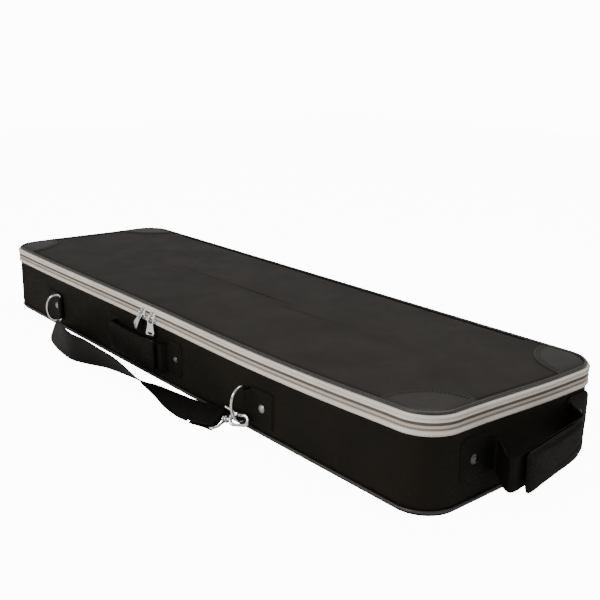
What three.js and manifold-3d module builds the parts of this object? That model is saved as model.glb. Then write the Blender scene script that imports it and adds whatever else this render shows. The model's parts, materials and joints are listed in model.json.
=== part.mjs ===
// Oblong violin case: a zipped lid on a padded tray, with two carrying handles, two D-rings
// and a clipped shoulder strap.
// Millimetres, +Z up. The origin is the centre of the flat bottom. +X is the end with the end handle,
// -Y is the front with the main handle and the zip sliders, +Y is the back with the fabric hinge.
import * as THREE from "three";
import { mergeVertices } from "three/addons/utils/BufferGeometryUtils.js";
import Module from "manifold-3d";

const wasm = await Module();
wasm.setup();

// ---- driving dimensions -----------------------------------------------------
const GAP = 0.3;
const BODY_LENGTH = 806;
const BODY_WIDTH = 238;
const CORNER_RADIUS = 33;
const CORNER_STEPS = 7;

const SKIN = 2.2;
const SHELL_WALL = 5;
const BAND_OVERHANG = 2;
const RIDGE_OVERHANG = 1.2;

const BOTTOM_THICKNESS = 2;
const BOTTOM_PIPING_TOP = 5.3;
const BASE_COVER_TOP = 66.5;
const LOWER_TAPE_TOP = 71.9;
const PARTING_HEIGHT = 74.7;
const COIL_HEIGHT = 2.2;
const UPPER_TAPE_TOP = 84.2;
const LID_SHELL_TOP = 82;
const LID_PANEL = 4;
const LID_COVER_TOP = 86;
const PIPING_RADIUS = 1.4;
const CORNER_PATCH_SIZE = 58;
const CORNER_PATCH_THICKNESS = 1;
const BAND_GAP_AT_BACK = 640;
const HINGE_STRIP_LENGTH = 636;
const HINGE_STRIP_BOTTOM = 54;
const HINGE_STRIP_THICKNESS = 1.2;

const LINING_FLOOR = 14;
const LINING_TOP = 58;
const LID_LINING_THICKNESS = 3;
const BOW_Y = 66;
const BOW_CLIP_X = -300;
const BOW_CLIP_LENGTH = 36;
const BOW_CLIP_WIDTH = 10;
const BOW_CLIP_DROP = 12;
const BOW_CLIP_ARM = 5;
const BOW_LOOP_X = 300;
const BOW_LOOP_DROP = 11;
const BOW_LOOP_HALF = 26;
const BOW_LOOP_WIDTH = 24;

const VIOLIN_TAIL_X = -386;
const VIOLIN_BODY_LENGTH = 360;
const NECK_END_X = 216;
const NECK_CHANNEL_WIDTH = 62;
const COMPARTMENT_START_X = 234;
const COMPARTMENT_END_X = 385;
const COMPARTMENT_WIDTH = 204;

const FRONT_Y = -BODY_WIDTH / 2;
const END_X = BODY_LENGTH / 2;
const PATCH_THICKNESS = 2;
const WEB_THICKNESS = 2.4;
const RIVET_RADIUS = 4;
const RIVET_HEIGHT = 1.8;

const FRONT_HANDLE_X = -36;
const FRONT_HANDLE_RIVET_SPACING = 144;
const FRONT_HANDLE_REACH = 11;
const END_HANDLE_Y = 9;
const END_HANDLE_RIVET_SPACING = 150;
const END_HANDLE_REACH = 23;
const HANDLE_Z = 36;
const HANDLE_WIDTH = 34;
const HANDLE_PATCH_HEIGHT = 40;
const FRONT_PATCH_LENGTH = 44;
const END_PATCH_LENGTH = 36;
const END_PATCH_RISE = 7;
const FRONT_GRIP_LENGTH = 102;
const END_GRIP_LENGTH = 84;
const GRIP_THICKNESS = 6;

const LEFT_RING_X = -245;
const RIGHT_RING_X = 168;
const RING_Z = 30;
const RING_WIRE_RADIUS = 1.5;
const RING_HALF_HEIGHT = 17.5;
const RING_DEPTH = 18;
const RING_CORNER = 3;
const LEFT_RING_TURN = -30;
const RIGHT_RING_TURN = 0;
const TAB_LOOP_RADIUS = 3.4;
const TAB_BORE_RADIUS = 1.9;
const TAB_LENGTH = 40;
const TAB_HEIGHT = 38;
const TAB_LOOP_HALF = 13;

const STRAP_WIDTH = 36;
const STRAP_THICKNESS = 2;

const HOOK_LENGTH = 24;
const HOOK_HEIGHT = 13;
const HOOK_WALL = 3.2;
const HOOK_THICKNESS = 4;
const SHANK_RADIUS = 1.8;
const SHANK_HEAD_RADIUS = 3.2;
const SWIVEL_BOSS_RADIUS = 3.8;
const GATE_RISE = 1.4;
const LEVER_RADIUS = 1.1;
const HOOK_AT = [168, -131.5, 13.2];
const HOOK_YAW = 22;
const HOOK_PITCH = 8;
const HOOK_ROLL = -22;
const END_RING_BAR = 36;
const END_RING_ROLL = 10;
const END_RING_WIRE_RADIUS = 1.3;

const LEFT_SLIDER_X = -28;
const RIGHT_SLIDER_X = -7;
const SLIDER_WIDTH = 9;
const SLIDER_HEIGHT = 12;
const SLIDER_THICKNESS = 2.6;
const PULL_LENGTH = 21.5;
const PULL_WIDTH = 10;
const PULL_EYE_HALF = 3.4;
const LEFT_PULL_SPLAY = 28;
const PULL_BAR_DEPTH = 1.2;
const PULL_BAR_RISE = 0.2;
const BRIDGE_OUTER = 4.2;
const BRIDGE_INNER = 2.4;

// ---- colours and finishes ---------------------------------------------------
const finish = (color, roughness, metalness) =>
  new THREE.MeshStandardMaterial({ color, roughness, metalness });
const fabric = (color, roughness = 0.85) => finish(color, roughness, 0);
const metal = (color, roughness = 0.2) => finish(color, roughness, 1);
const NYLON_BLACK = 0x26231f;
const PANEL_CHARCOAL = 0x3a3733;
const TAPE_SILVER = 0xb9b2ac;
const WEBBING_BLACK = 0x2b2927;
const VINYL_GREY = 0x4a4743;
const LINING_GREY = 0x6f7076;
const BOARD_TAN = 0x8c7a5c;
const CLIP_BLACK = 0x1c1c1e;
const CHROME = 0xd9dadb;

// ---- shape helpers ----------------------------------------------------------
const group = new THREE.Group();

function addNode(name, geometry, material, parent = group) {
  const mesh = new THREE.Mesh(geometry, material);
  mesh.name = name;
  parent.add(mesh);
  return mesh;
}

function toSolid(geometry) {
  const bare = geometry.clone();
  bare.deleteAttribute("normal");
  bare.deleteAttribute("uv");
  const merged = mergeVertices(bare, 1e-4);
  const vertProperties = new Float32Array(merged.attributes.position.array);
  const triVerts = new Uint32Array(merged.index.array);
  return new wasm.Manifold(new wasm.Mesh({ numProp: 3, vertProperties, triVerts }));
}

function toGeometry(solid) {
  const mesh = solid.getMesh();
  const geometry = new THREE.BufferGeometry();
  const positions = new Float32Array(mesh.vertProperties);
  geometry.setAttribute("position", new THREE.BufferAttribute(positions, 3));
  geometry.setIndex(new THREE.BufferAttribute(new Uint32Array(mesh.triVerts), 1));
  return geometry;
}

function join(...geometries) {
  return toGeometry(geometries.map(toSolid).reduce((sum, piece) => sum.add(piece)));
}

function cut(geometry, ...tools) {
  return toGeometry(tools.map(toSolid).reduce((rest, tool) => rest.subtract(tool), toSolid(geometry)));
}

function box(low, high) {
  const size = high.map((value, axis) => value - low[axis]);
  const centre = high.map((value, axis) => (value + low[axis]) / 2);
  return new THREE.BoxGeometry(...size).translate(...centre);
}

function roundedOutline(length, width, radius, target = new THREE.Shape()) {
  const x = length / 2;
  const y = width / 2;
  target.moveTo(-x + radius, -y);
  target.lineTo(x - radius, -y);
  target.absarc(x - radius, -y + radius, radius, -Math.PI / 2, 0, false);
  target.lineTo(x, y - radius);
  target.absarc(x - radius, y - radius, radius, 0, Math.PI / 2, false);
  target.lineTo(-x + radius, y);
  target.absarc(-x + radius, y - radius, radius, Math.PI / 2, Math.PI, false);
  target.lineTo(-x, -y + radius);
  target.absarc(-x + radius, -y + radius, radius, Math.PI, Math.PI * 1.5, false);
  return target;
}

function extrude(shape, low, high, curveSegments = CORNER_STEPS) {
  const settings = { depth: high - low, bevelEnabled: false, curveSegments };
  return new THREE.ExtrudeGeometry(shape, settings).translate(0, 0, low);
}

// A shape drawn in X and Z, extruded along Y.
function extrudeAlongY(shape, low, high, curveSegments = 7) {
  return extrude(shape, -high, -low, curveSegments).rotateX(Math.PI / 2);
}

// A shape drawn in Y and Z, extruded along X.
function extrudeAlongX(shape, low, high, curveSegments = 7) {
  const toYZX = new THREE.Matrix4().set(0, 0, 1, 0, 1, 0, 0, 0, 0, 1, 0, 0, 0, 0, 0, 1);
  return extrude(shape, low, high, curveSegments).applyMatrix4(toYZX);
}

// A plan of the case's own outline, moved in by an inset.
function casePlan(inset, target) {
  return roundedOutline(BODY_LENGTH - 2 * inset, BODY_WIDTH - 2 * inset, CORNER_RADIUS - inset, target);
}

function caseSlab(inset, low, high) {
  return extrude(casePlan(inset), low, high);
}

function caseRing(outerInset, innerInset, low, high) {
  const shape = casePlan(outerInset);
  shape.holes.push(casePlan(innerInset, new THREE.Path()));
  return extrude(shape, low, high);
}

// A cylinder along any axis through two points.
function rod(start, end, radius, sides = 14) {
  const from = new THREE.Vector3(...start);
  const to = new THREE.Vector3(...end);
  const along = to.clone().sub(from);
  const geometry = new THREE.CylinderGeometry(radius, radius, along.length(), sides);
  const direction = along.clone().normalize();
  const turn = new THREE.Quaternion().setFromUnitVectors(new THREE.Vector3(0, 1, 0), direction);
  const middle = from.add(to).multiplyScalar(0.5);
  return geometry.applyQuaternion(turn).translate(middle.x, middle.y, middle.z);
}

// A flat band: each row is a centre point and the direction of the band's width there.
function ribbon(rows, width, thickness) {
  const centres = rows.map((row) => new THREE.Vector3(...row.at));
  const corners = [];
  rows.forEach((row, index) => {
    const before = centres[Math.max(index - 1, 0)];
    const after = centres[Math.min(index + 1, rows.length - 1)];
    const tangent = after.clone().sub(before).normalize();
    const across = new THREE.Vector3(...row.across).normalize();
    const out = new THREE.Vector3().crossVectors(tangent, across).normalize();
    const half = (row.width ?? width) / 2;
    for (const [side, face] of [[-1, -1], [1, -1], [1, 1], [-1, 1]]) {
      const corner = centres[index].clone().addScaledVector(across, side * half);
      corners.push(corner.addScaledVector(out, (face * thickness) / 2));
    }
  });
  const positions = new Float32Array(corners.flatMap((corner) => corner.toArray()));
  const faces = [0, 1, 2, 0, 2, 3];
  const last = (rows.length - 1) * 4;
  for (let row = 0; row < rows.length - 1; row += 1) {
    for (let side = 0; side < 4; side += 1) {
      const a = row * 4 + side;
      const b = row * 4 + ((side + 1) % 4);
      faces.push(a, a + 4, b, b, a + 4, b + 4);
    }
  }
  faces.push(last, last + 2, last + 1, last, last + 3, last + 2);
  const geometry = new THREE.BufferGeometry();
  geometry.setAttribute("position", new THREE.BufferAttribute(positions, 3));
  geometry.setIndex(faces);
  return toGeometry(orientOutward(geometry));
}

function orientOutward(geometry) {
  const triVerts = new Uint32Array(geometry.index.array);
  const position = geometry.attributes.position;
  let volume = 0;
  const [a, b, c] = [new THREE.Vector3(), new THREE.Vector3(), new THREE.Vector3()];
  for (let face = 0; face < triVerts.length; face += 3) {
    a.fromBufferAttribute(position, triVerts[face]);
    b.fromBufferAttribute(position, triVerts[face + 1]);
    c.fromBufferAttribute(position, triVerts[face + 2]);
    volume += a.dot(b.clone().cross(c));
  }
  if (volume < 0) {
    for (let face = 0; face < triVerts.length; face += 3) {
      [triVerts[face + 1], triVerts[face + 2]] = [triVerts[face + 2], triVerts[face + 1]];
    }
  }
  const vertProperties = new Float32Array(position.array);
  return new wasm.Manifold(new wasm.Mesh({ numProp: 3, vertProperties, triVerts }));
}

// A closed wire ring through points in order.
function wireLoop(points, radius, steps, sides = 8) {
  const curve = new THREE.CatmullRomCurve3(points, true, "centripetal");
  return toGeometry(toSolid(new THREE.TubeGeometry(curve, steps, radius, sides, true)));
}

// ---- tray -------------------------------------------------------------------
const shellInset = SKIN + GAP;
const liningInset = shellInset + SHELL_WALL + GAP;

function addBase() {
  addNode("bottom_cover", caseSlab(0, 0, BOTTOM_THICKNESS), fabric(NYLON_BLACK));
  const pipingLow = BOTTOM_THICKNESS + GAP;
  const piping = caseRing(-1, shellInset - GAP, pipingLow, BOTTOM_PIPING_TOP);
  addNode("bottom_piping", piping, fabric(NYLON_BLACK, 0.6));
  const cover = caseRing(0, SKIN, BOTTOM_PIPING_TOP + GAP, BASE_COVER_TOP);
  addNode("base_cover", cover, fabric(NYLON_BLACK));

  const shellFloor = BOTTOM_THICKNESS + GAP;
  const shellBlock = caseSlab(shellInset, shellFloor, PARTING_HEIGHT - GAP);
  const shellHollow = caseSlab(shellInset + SHELL_WALL, shellFloor + SHELL_WALL, PARTING_HEIGHT + 5);
  addNode("base_shell", cut(shellBlock, shellHollow), fabric(BOARD_TAN, 0.9));

  const liningLow = shellFloor + SHELL_WALL + GAP;
  const liningBlock = caseSlab(liningInset, liningLow, LINING_TOP);
  const lining = cut(liningBlock, violinRecess(), accessoryRecess());
  addNode("base_lining", lining, fabric(LINING_GREY, 0.95));
  addNeckRest();
}

// Half widths of the violin's body along its length, as fractions of the body.
const BODY_PROFILE = [
  [0.0, 40],
  [0.05, 82],
  [0.21, 105],
  [0.36, 92],
  [0.46, 64],
  [0.58, 57],
  [0.68, 68],
  [0.8, 85],
  [0.93, 72],
  [1.0, NECK_CHANNEL_WIDTH / 2],
];

function violinRecess() {
  const side = BODY_PROFILE.map(([along, half]) => {
    return new THREE.Vector2(VIOLIN_TAIL_X + along * VIOLIN_BODY_LENGTH, half);
  });
  const curve = new THREE.SplineCurve(side).getPoints(26);
  const neck = new THREE.Vector2(NECK_END_X, NECK_CHANNEL_WIDTH / 2);
  const upper = [...curve, neck];
  const lower = [...upper].reverse().map((point) => new THREE.Vector2(point.x, -point.y));
  return extrude(new THREE.Shape([...lower, ...upper]), LINING_FLOOR, LINING_TOP + 5);
}

function accessoryRecess() {
  const length = COMPARTMENT_END_X - COMPARTMENT_START_X;
  const outline = roundedOutline(length, COMPARTMENT_WIDTH, 34);
  const middle = (COMPARTMENT_END_X + COMPARTMENT_START_X) / 2;
  return extrude(outline, LINING_FLOOR, LINING_TOP + 5, 6).translate(middle, 0, 0);
}

function addNeckRest() {
  const half = NECK_CHANNEL_WIDTH / 2 - 2;
  const low = LINING_FLOOR + GAP;
  const block = box([70, -half, low], [100, half, 42]);
  const groove = rod([60, 0, 46], [110, 0, 46], 18, 24);
  addNode("neck_rest", cut(block, groove), fabric(LINING_GREY, 0.95));
  const tie = ribbon(
    [-44, -36, -20, 0, 20, 36, 44].map((y) => ({
      at: [85, y, LINING_TOP + 1.6 + 3 * Math.cos((y / 44) * (Math.PI / 2)) ** 2],
      across: [1, 0, 0],
    })),
    26,
    WEB_THICKNESS,
  );
  addNode("neck_strap", tie, fabric(WEBBING_BLACK));
}

// ---- zip --------------------------------------------------------------------
// The band runs round the front, both ends and the back corners, and leaves the hinge's length free.
function zipBand(overhang, low, high) {
  const ring = caseRing(-overhang, shellInset - GAP, low, high);
  const half = BAND_GAP_AT_BACK / 2;
  const back = BODY_WIDTH / 2;
  return cut(ring, box([-half, back - 20, low - 5], [half, back + 20, high + 5]));
}

function addZip() {
  const coilBottom = LOWER_TAPE_TOP + GAP;
  const tapeMaterial = fabric(TAPE_SILVER, 0.6);
  const lowerTape = zipBand(BAND_OVERHANG, BASE_COVER_TOP + GAP, LOWER_TAPE_TOP);
  addNode("lower_zip_tape", lowerTape, tapeMaterial);
  const lowerCoil = zipBand(RIDGE_OVERHANG, coilBottom, coilBottom + COIL_HEIGHT);
  addNode("lower_zip_coil", lowerCoil, tapeMaterial);
  const upperCoilLow = PARTING_HEIGHT + GAP;
  const upperCoilHigh = upperCoilLow + COIL_HEIGHT;
  const upperCoil = zipBand(RIDGE_OVERHANG, upperCoilLow, upperCoilHigh);
  addNode("upper_zip_coil", upperCoil, tapeMaterial);
  const upperTape = zipBand(BAND_OVERHANG, upperCoilHigh + GAP, UPPER_TAPE_TOP);
  addNode("upper_zip_tape", upperTape, tapeMaterial);
  const halfStrip = HINGE_STRIP_LENGTH / 2;
  const stripFront = BODY_WIDTH / 2 + GAP;
  const strip = box(
    [-halfStrip, stripFront, HINGE_STRIP_BOTTOM],
    [halfStrip, stripFront + HINGE_STRIP_THICKNESS, UPPER_TAPE_TOP],
  );
  addNode("hinge_strip", strip, fabric(NYLON_BLACK));
  addSlider("left", LEFT_SLIDER_X, LEFT_PULL_SPLAY);
  addSlider("right", RIGHT_SLIDER_X, 0);
}

// Each slider is a plate with a bridge on its face, and the pull hangs from the bridge.
function addSlider(side, x, splay) {
  const plateBack = FRONT_Y - BAND_OVERHANG - GAP;
  const plateFront = plateBack - SLIDER_THICKNESS;
  const halfWidth = SLIDER_WIDTH / 2;
  const halfHeight = SLIDER_HEIGHT / 2;
  const plate = box(
    [x - halfWidth, plateFront, PARTING_HEIGHT - halfHeight],
    [x + halfWidth, plateBack, PARTING_HEIGHT + halfHeight],
  );
  const bridge = extrudeAlongX(bridgeOutline(), x - 0.9, x + 0.9);
  bridge.translate(0, plateFront, PARTING_HEIGHT);
  addNode(`${side}_zip_slider`, join(plate, bridge), metal(CHROME));

  const pull = pullTab().rotateY(THREE.MathUtils.degToRad(splay));
  pull.translate(x, plateFront - PULL_BAR_DEPTH, PARTING_HEIGHT + PULL_BAR_RISE);
  addNode(`${side}_zip_pull`, pull, metal(CHROME));
}

// Half a ring standing on the slider's face, rooted 1 mm into it.
function bridgeOutline() {
  const arch = new THREE.Shape();
  arch.moveTo(1, -BRIDGE_OUTER);
  arch.lineTo(1, -BRIDGE_INNER);
  arch.lineTo(0, -BRIDGE_INNER);
  arch.absarc(0, 0, BRIDGE_INNER, -Math.PI / 2, Math.PI / 2, true);
  arch.lineTo(1, BRIDGE_INNER);
  arch.lineTo(1, BRIDGE_OUTER);
  arch.lineTo(0, BRIDGE_OUTER);
  arch.absarc(0, 0, BRIDGE_OUTER, Math.PI / 2, -Math.PI / 2, false);
  return arch;
}

// The pull hangs below its top bar, which is the origin here, and its eye clears the slider's bridge.
function pullTab() {
  const halfBar = 0.65;
  const tab = roundedOutline(PULL_WIDTH, PULL_LENGTH, 3.4).getPoints(6);
  const outline = new THREE.Shape(tab.map((point) => new THREE.Vector2(point.x, point.y)));
  const body = extrudeAlongY(outline, -0.7, 0.7).translate(0, 0, halfBar - PULL_LENGTH / 2);
  return cut(body, box([-PULL_EYE_HALF, -2, -6.8], [PULL_EYE_HALF, 2, -halfBar]));
}

// ---- lid --------------------------------------------------------------------
function addLid() {
  const low = PARTING_HEIGHT + GAP;
  const block = caseSlab(shellInset, low, LID_SHELL_TOP);
  const hollow = caseSlab(shellInset + SHELL_WALL, low - 5, LID_SHELL_TOP - LID_PANEL);
  addNode("lid_shell", cut(block, hollow), fabric(BOARD_TAN, 0.9));

  const pipingInset = PIPING_RADIUS + 0.2;
  const pipingLow = UPPER_TAPE_TOP + GAP;
  const piping = caseRing(0.2, 0.2 + 2 * PIPING_RADIUS, pipingLow, pipingLow + 2 * PIPING_RADIUS);
  addNode("lid_piping", piping, fabric(NYLON_BLACK, 0.5));
  const coverInset = pipingInset + PIPING_RADIUS + GAP;
  const panel = caseSlab(coverInset, LID_SHELL_TOP + GAP, LID_COVER_TOP);
  addNode("lid_cover", panel, fabric(PANEL_CHARCOAL, 0.7));
  for (const [endName, endSign] of [["left", -1], ["right", 1]]) {
    for (const [sideName, sideSign] of [["front", -1], ["back", 1]]) {
      const patch = cornerPatch(coverInset, endSign, sideSign);
      addNode(`corner_patch_${sideName}_${endName}`, patch, fabric(VINYL_GREY, 0.45));
    }
  }

  const liningTop = LID_SHELL_TOP - LID_PANEL - GAP;
  const lining = caseSlab(liningInset, liningTop - LID_LINING_THICKNESS, liningTop);
  addNode("lid_lining", lining, fabric(LINING_GREY, 0.95));
  addBowHolders(liningTop - LID_LINING_THICKNESS);
}

// A quarter of a rounded plate on the lid's corner, with its inner edge bulging towards the middle.
function cornerPatch(inset, endSign, sideSign) {
  const low = LID_COVER_TOP + GAP;
  const plate = caseSlab(inset, low, low + CORNER_PATCH_THICKNESS);
  const cornerX = endSign * (BODY_LENGTH / 2 - inset);
  const cornerY = sideSign * (BODY_WIDTH / 2 - inset);
  const discTop = LID_COVER_TOP + 5;
  const disc = rod([cornerX, cornerY, low - 1], [cornerX, cornerY, discTop], CORNER_PATCH_SIZE, 56);
  return toGeometry(toSolid(plate).intersect(toSolid(disc)));
}

// Two turning clips for the frogs of the bows, and two loops for their tips.
function addBowHolders(ceiling) {
  for (const [name, y] of [["front", -BOW_Y], ["back", BOW_Y]]) {
    const top = ceiling - GAP;
    const shaftEnd = top - BOW_CLIP_DROP;
    const shaft = rod([BOW_CLIP_X, y, top], [BOW_CLIP_X, y, shaftEnd], 4, 16);
    const armOutline = roundedOutline(BOW_CLIP_LENGTH, BOW_CLIP_WIDTH, BOW_CLIP_WIDTH / 2 - 0.1);
    const arm = extrude(armOutline, shaftEnd - BOW_CLIP_ARM + 1, shaftEnd + 1, 5);
    arm.translate(BOW_CLIP_X, y, 0);
    addNode(`bow_clip_${name}`, join(shaft, arm), finish(CLIP_BLACK, 0.4, 0));

    const loopRows = [-1, -0.85, -0.54, 0, 0.54, 0.85, 1].map((place) => {
      const sag = BOW_LOOP_DROP * Math.cos((place / 2) * Math.PI) ** 2;
      return {
        at: [BOW_LOOP_X, y + place * BOW_LOOP_HALF, top - WEB_THICKNESS / 2 - sag],
        across: [1, 0, 0],
      };
    });
    const loop = ribbon(loopRows, BOW_LOOP_WIDTH, WEB_THICKNESS);
    addNode(`bow_tip_loop_${name}`, loop, fabric(WEBBING_BLACK));
  }
}

// ---- handles ----------------------------------------------------------------
// A handle is built along +X with the case's wall at y = 0 and the outside at -Y.
function addHandle(name, placement, spec) {
  const parent = new THREE.Group();
  parent.position.copy(placement.position);
  parent.rotation.z = placement.turn;
  group.add(parent);
  const half = spec.rivetSpacing / 2;
  for (const [side, sign] of [[spec.sideNames[0], -1], [spec.sideNames[1], 1]]) {
    const patchOutline = roundedOutline(spec.patchLength, HANDLE_PATCH_HEIGHT, 8);
    const patch = extrudeAlongY(patchOutline, GAP, GAP + PATCH_THICKNESS);
    patch.rotateZ(Math.PI).translate(sign * (half - spec.patchShift), 0, spec.patchRise);
    addNode(`${name}_patch_${side}`, patch, fabric(VINYL_GREY, 0.6), parent);
    const rivetBack = -2 * GAP - PATCH_THICKNESS;
    const rivet = rivetHead().translate(sign * half, rivetBack, spec.patchRise);
    addNode(`${name}_rivet_${side}`, rivet, metal(CHROME, 0.3), parent);
  }

  const root = 2 * GAP + PATCH_THICKNESS + WEB_THICKNESS / 2;
  const inner = half - RIVET_RADIUS - 3;
  const profile = [
    [inner, root],
    [inner - 5, root],
    [inner - 9, (root + spec.reach) / 2],
    [inner - 13, spec.reach],
  ];
  const left = profile.map(([x, out]) => [-x, out]);
  const right = [...profile].reverse();
  const strapRows = [...left, [0, spec.reach], ...right].map(([x, out]) => ({
    at: [x, -out, 0],
    across: [0, 0, 1],
  }));
  const strap = ribbon(strapRows, HANDLE_WIDTH - 4, WEB_THICKNESS);
  addNode(`${name}_strap`, strap, fabric(WEBBING_BLACK), parent);
  const padBack = spec.reach + WEB_THICKNESS / 2 + GAP;
  const outline = roundedOutline(spec.gripLength, HANDLE_WIDTH, 6);
  const pad = extrudeAlongY(outline, padBack, padBack + GRIP_THICKNESS).rotateZ(Math.PI);
  addNode(`${name}_grip`, pad, fabric(VINYL_GREY, 0.7), parent);
}

// A low domed head standing out towards -Y.
function rivetHead() {
  const profile = [
    new THREE.Vector2(0, 0),
    new THREE.Vector2(RIVET_RADIUS, 0),
    new THREE.Vector2(RIVET_RADIUS, RIVET_HEIGHT * 0.4),
    new THREE.Vector2(RIVET_RADIUS * 0.7, RIVET_HEIGHT * 0.85),
    new THREE.Vector2(0, RIVET_HEIGHT),
  ];
  return new THREE.LatheGeometry(profile, 12).rotateX(Math.PI);
}

function addHandles() {
  const frontPlace = { position: new THREE.Vector3(FRONT_HANDLE_X, FRONT_Y, HANDLE_Z), turn: 0 };
  addHandle("front_handle", frontPlace, {
    rivetSpacing: FRONT_HANDLE_RIVET_SPACING,
    patchLength: FRONT_PATCH_LENGTH,
    patchShift: 10,
    patchRise: 0,
    reach: FRONT_HANDLE_REACH,
    gripLength: FRONT_GRIP_LENGTH,
    sideNames: ["left", "right"],
  });
  const endPlace = { position: new THREE.Vector3(END_X, END_HANDLE_Y, HANDLE_Z), turn: Math.PI / 2 };
  addHandle("end_handle", endPlace, {
    rivetSpacing: END_HANDLE_RIVET_SPACING,
    patchLength: END_PATCH_LENGTH,
    patchShift: 2,
    patchRise: END_PATCH_RISE,
    reach: END_HANDLE_REACH,
    gripLength: END_GRIP_LENGTH,
    sideNames: ["front", "back"],
  });
}

// ---- D-rings ----------------------------------------------------------------
function addRing(side, x, tabSign, rivetOffset, turn) {
  const tabFace = FRONT_Y - GAP;
  const barY = tabFace - TAB_LOOP_RADIUS;
  const tabFar = x + tabSign * TAB_LENGTH;
  const plate = box(
    [Math.min(x, tabFar), tabFace - PATCH_THICKNESS, RING_Z - TAB_HEIGHT / 2],
    [Math.max(x, tabFar), tabFace, RING_Z + TAB_HEIGHT / 2],
  );
  const nook = box(
    [x - 6, tabFace - 8, RING_Z - TAB_HEIGHT / 2 - 1],
    [x + 6, tabFace + 1, RING_Z - TAB_LOOP_HALF],
  );
  const topNook = nook.clone().translate(0, 0, TAB_LOOP_HALF + TAB_HEIGHT / 2 + 1);
  const loopLow = RING_Z - TAB_LOOP_HALF;
  const loop = rod([x, barY, loopLow], [x, barY, RING_Z + TAB_LOOP_HALF], TAB_LOOP_RADIUS, 16);
  const bore = rod([x, barY, RING_Z - 40], [x, barY, RING_Z + 40], TAB_BORE_RADIUS, 16);
  addNode(`${side}_ring_tab`, cut(join(plate, loop), nook, topNook, bore), fabric(VINYL_GREY, 0.6));
  const rivetFace = tabFace - PATCH_THICKNESS - GAP;
  const rivet = rivetHead().translate(x + tabSign * rivetOffset, rivetFace, RING_Z);
  addNode(`${side}_ring_rivet`, rivet, metal(CHROME, 0.3));

  const ring = wireLoop(ringPath(), RING_WIRE_RADIUS, 36);
  ring.rotateZ(THREE.MathUtils.degToRad(turn)).translate(x, barY, RING_Z);
  addNode(`${side}_d_ring`, ring, metal(CHROME));
}

// The D: a straight bar on the Z axis, two small corners and half an ellipse out towards -Y.
function ringPath() {
  const points = [];
  for (let step = 0; step <= 4; step += 1) {
    points.push(new THREE.Vector3(0, 0, (RING_HALF_HEIGHT - RING_CORNER) * (1 - step / 2)));
  }
  const reach = RING_DEPTH - RING_CORNER;
  for (let step = 0; step <= 12; step += 1) {
    const angle = -Math.PI / 2 + (step / 12) * Math.PI;
    const out = RING_CORNER + reach * Math.cos(angle);
    points.push(new THREE.Vector3(0, -out, RING_HALF_HEIGHT * Math.sin(angle)));
  }
  return points;
}

// ---- shoulder strap ---------------------------------------------------------
// The strap leaves the left ring, stands on its edge along the front, turns over once
// and ends flat at the hook. Each row is one cross-section, from its near edge to its far edge.
const STRAP_EDGES = [
  { near: [-243, -133, 6.5], far: [-244, -130.5, 11] },
  { near: [-229, -145, 2.5], far: [-226, -138, 21] },
  { near: [-209, -156, 1.2], far: [-200, -147, 27] },
  { near: [-181, -163, 1.2], far: [-172, -157, 34] },
  { near: [-151, -167.5, 1.2], far: [-146, -166, 36.5] },
  { near: [-122, -168.5, 1.2], far: [-119, -170, 36.5] },
  { near: [-97, -160.5, 1.2], far: [-90, -167, 35.5] },
  { near: [-71, -149.5, 1.2], far: [-60, -164, 32] },
  { near: [-42, -144, 1.2], far: [-26, -160, 27] },
  { near: [-8, -138, 1.2], far: [16, -156, 14] },
  { near: [18, -134, 3.5], far: [42, -153, 4.5] },
  { near: [46, -132, 5], far: [66, -157, 1.5] },
  { near: [80, -129.5, 6.5], far: [95, -160.5, 1.3] },
  { near: [105.5, -128.5, 9], far: [118.5, -161, 2.8] },
];
// The end of the strap, doubled back on itself round the ring it ends on.
const FOLD_EDGES = [
  { near: [106.7, -128.4, 9.2], far: [119.7, -160.9, 3] },
  { near: [136, -126.6, 12.2], far: [149, -157.6, 6.4] },
];

function ribbonBetween(edges, steps, thickness) {
  const near = new THREE.CatmullRomCurve3(edges.map((edge) => new THREE.Vector3(...edge.near)));
  const far = new THREE.CatmullRomCurve3(edges.map((edge) => new THREE.Vector3(...edge.far)));
  const rows = Array.from({ length: steps + 1 }, (_, step) => {
    const low = near.getPoint(step / steps);
    const high = far.getPoint(step / steps);
    const across = high.clone().sub(low);
    const middle = low.add(high).multiplyScalar(0.5);
    return { at: middle.toArray(), across: across.toArray(), width: across.length() };
  });
  return ribbon(rows, STRAP_WIDTH, thickness);
}

function addShoulderStrap() {
  addNode("shoulder_strap", ribbonBetween(STRAP_EDGES, 52, STRAP_THICKNESS), fabric(WEBBING_BLACK));
  const fold = ribbonBetween(FOLD_EDGES, 4, 2 * STRAP_THICKNESS);
  addNode("strap_end_fold", fold, fabric(WEBBING_BLACK));
}

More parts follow.
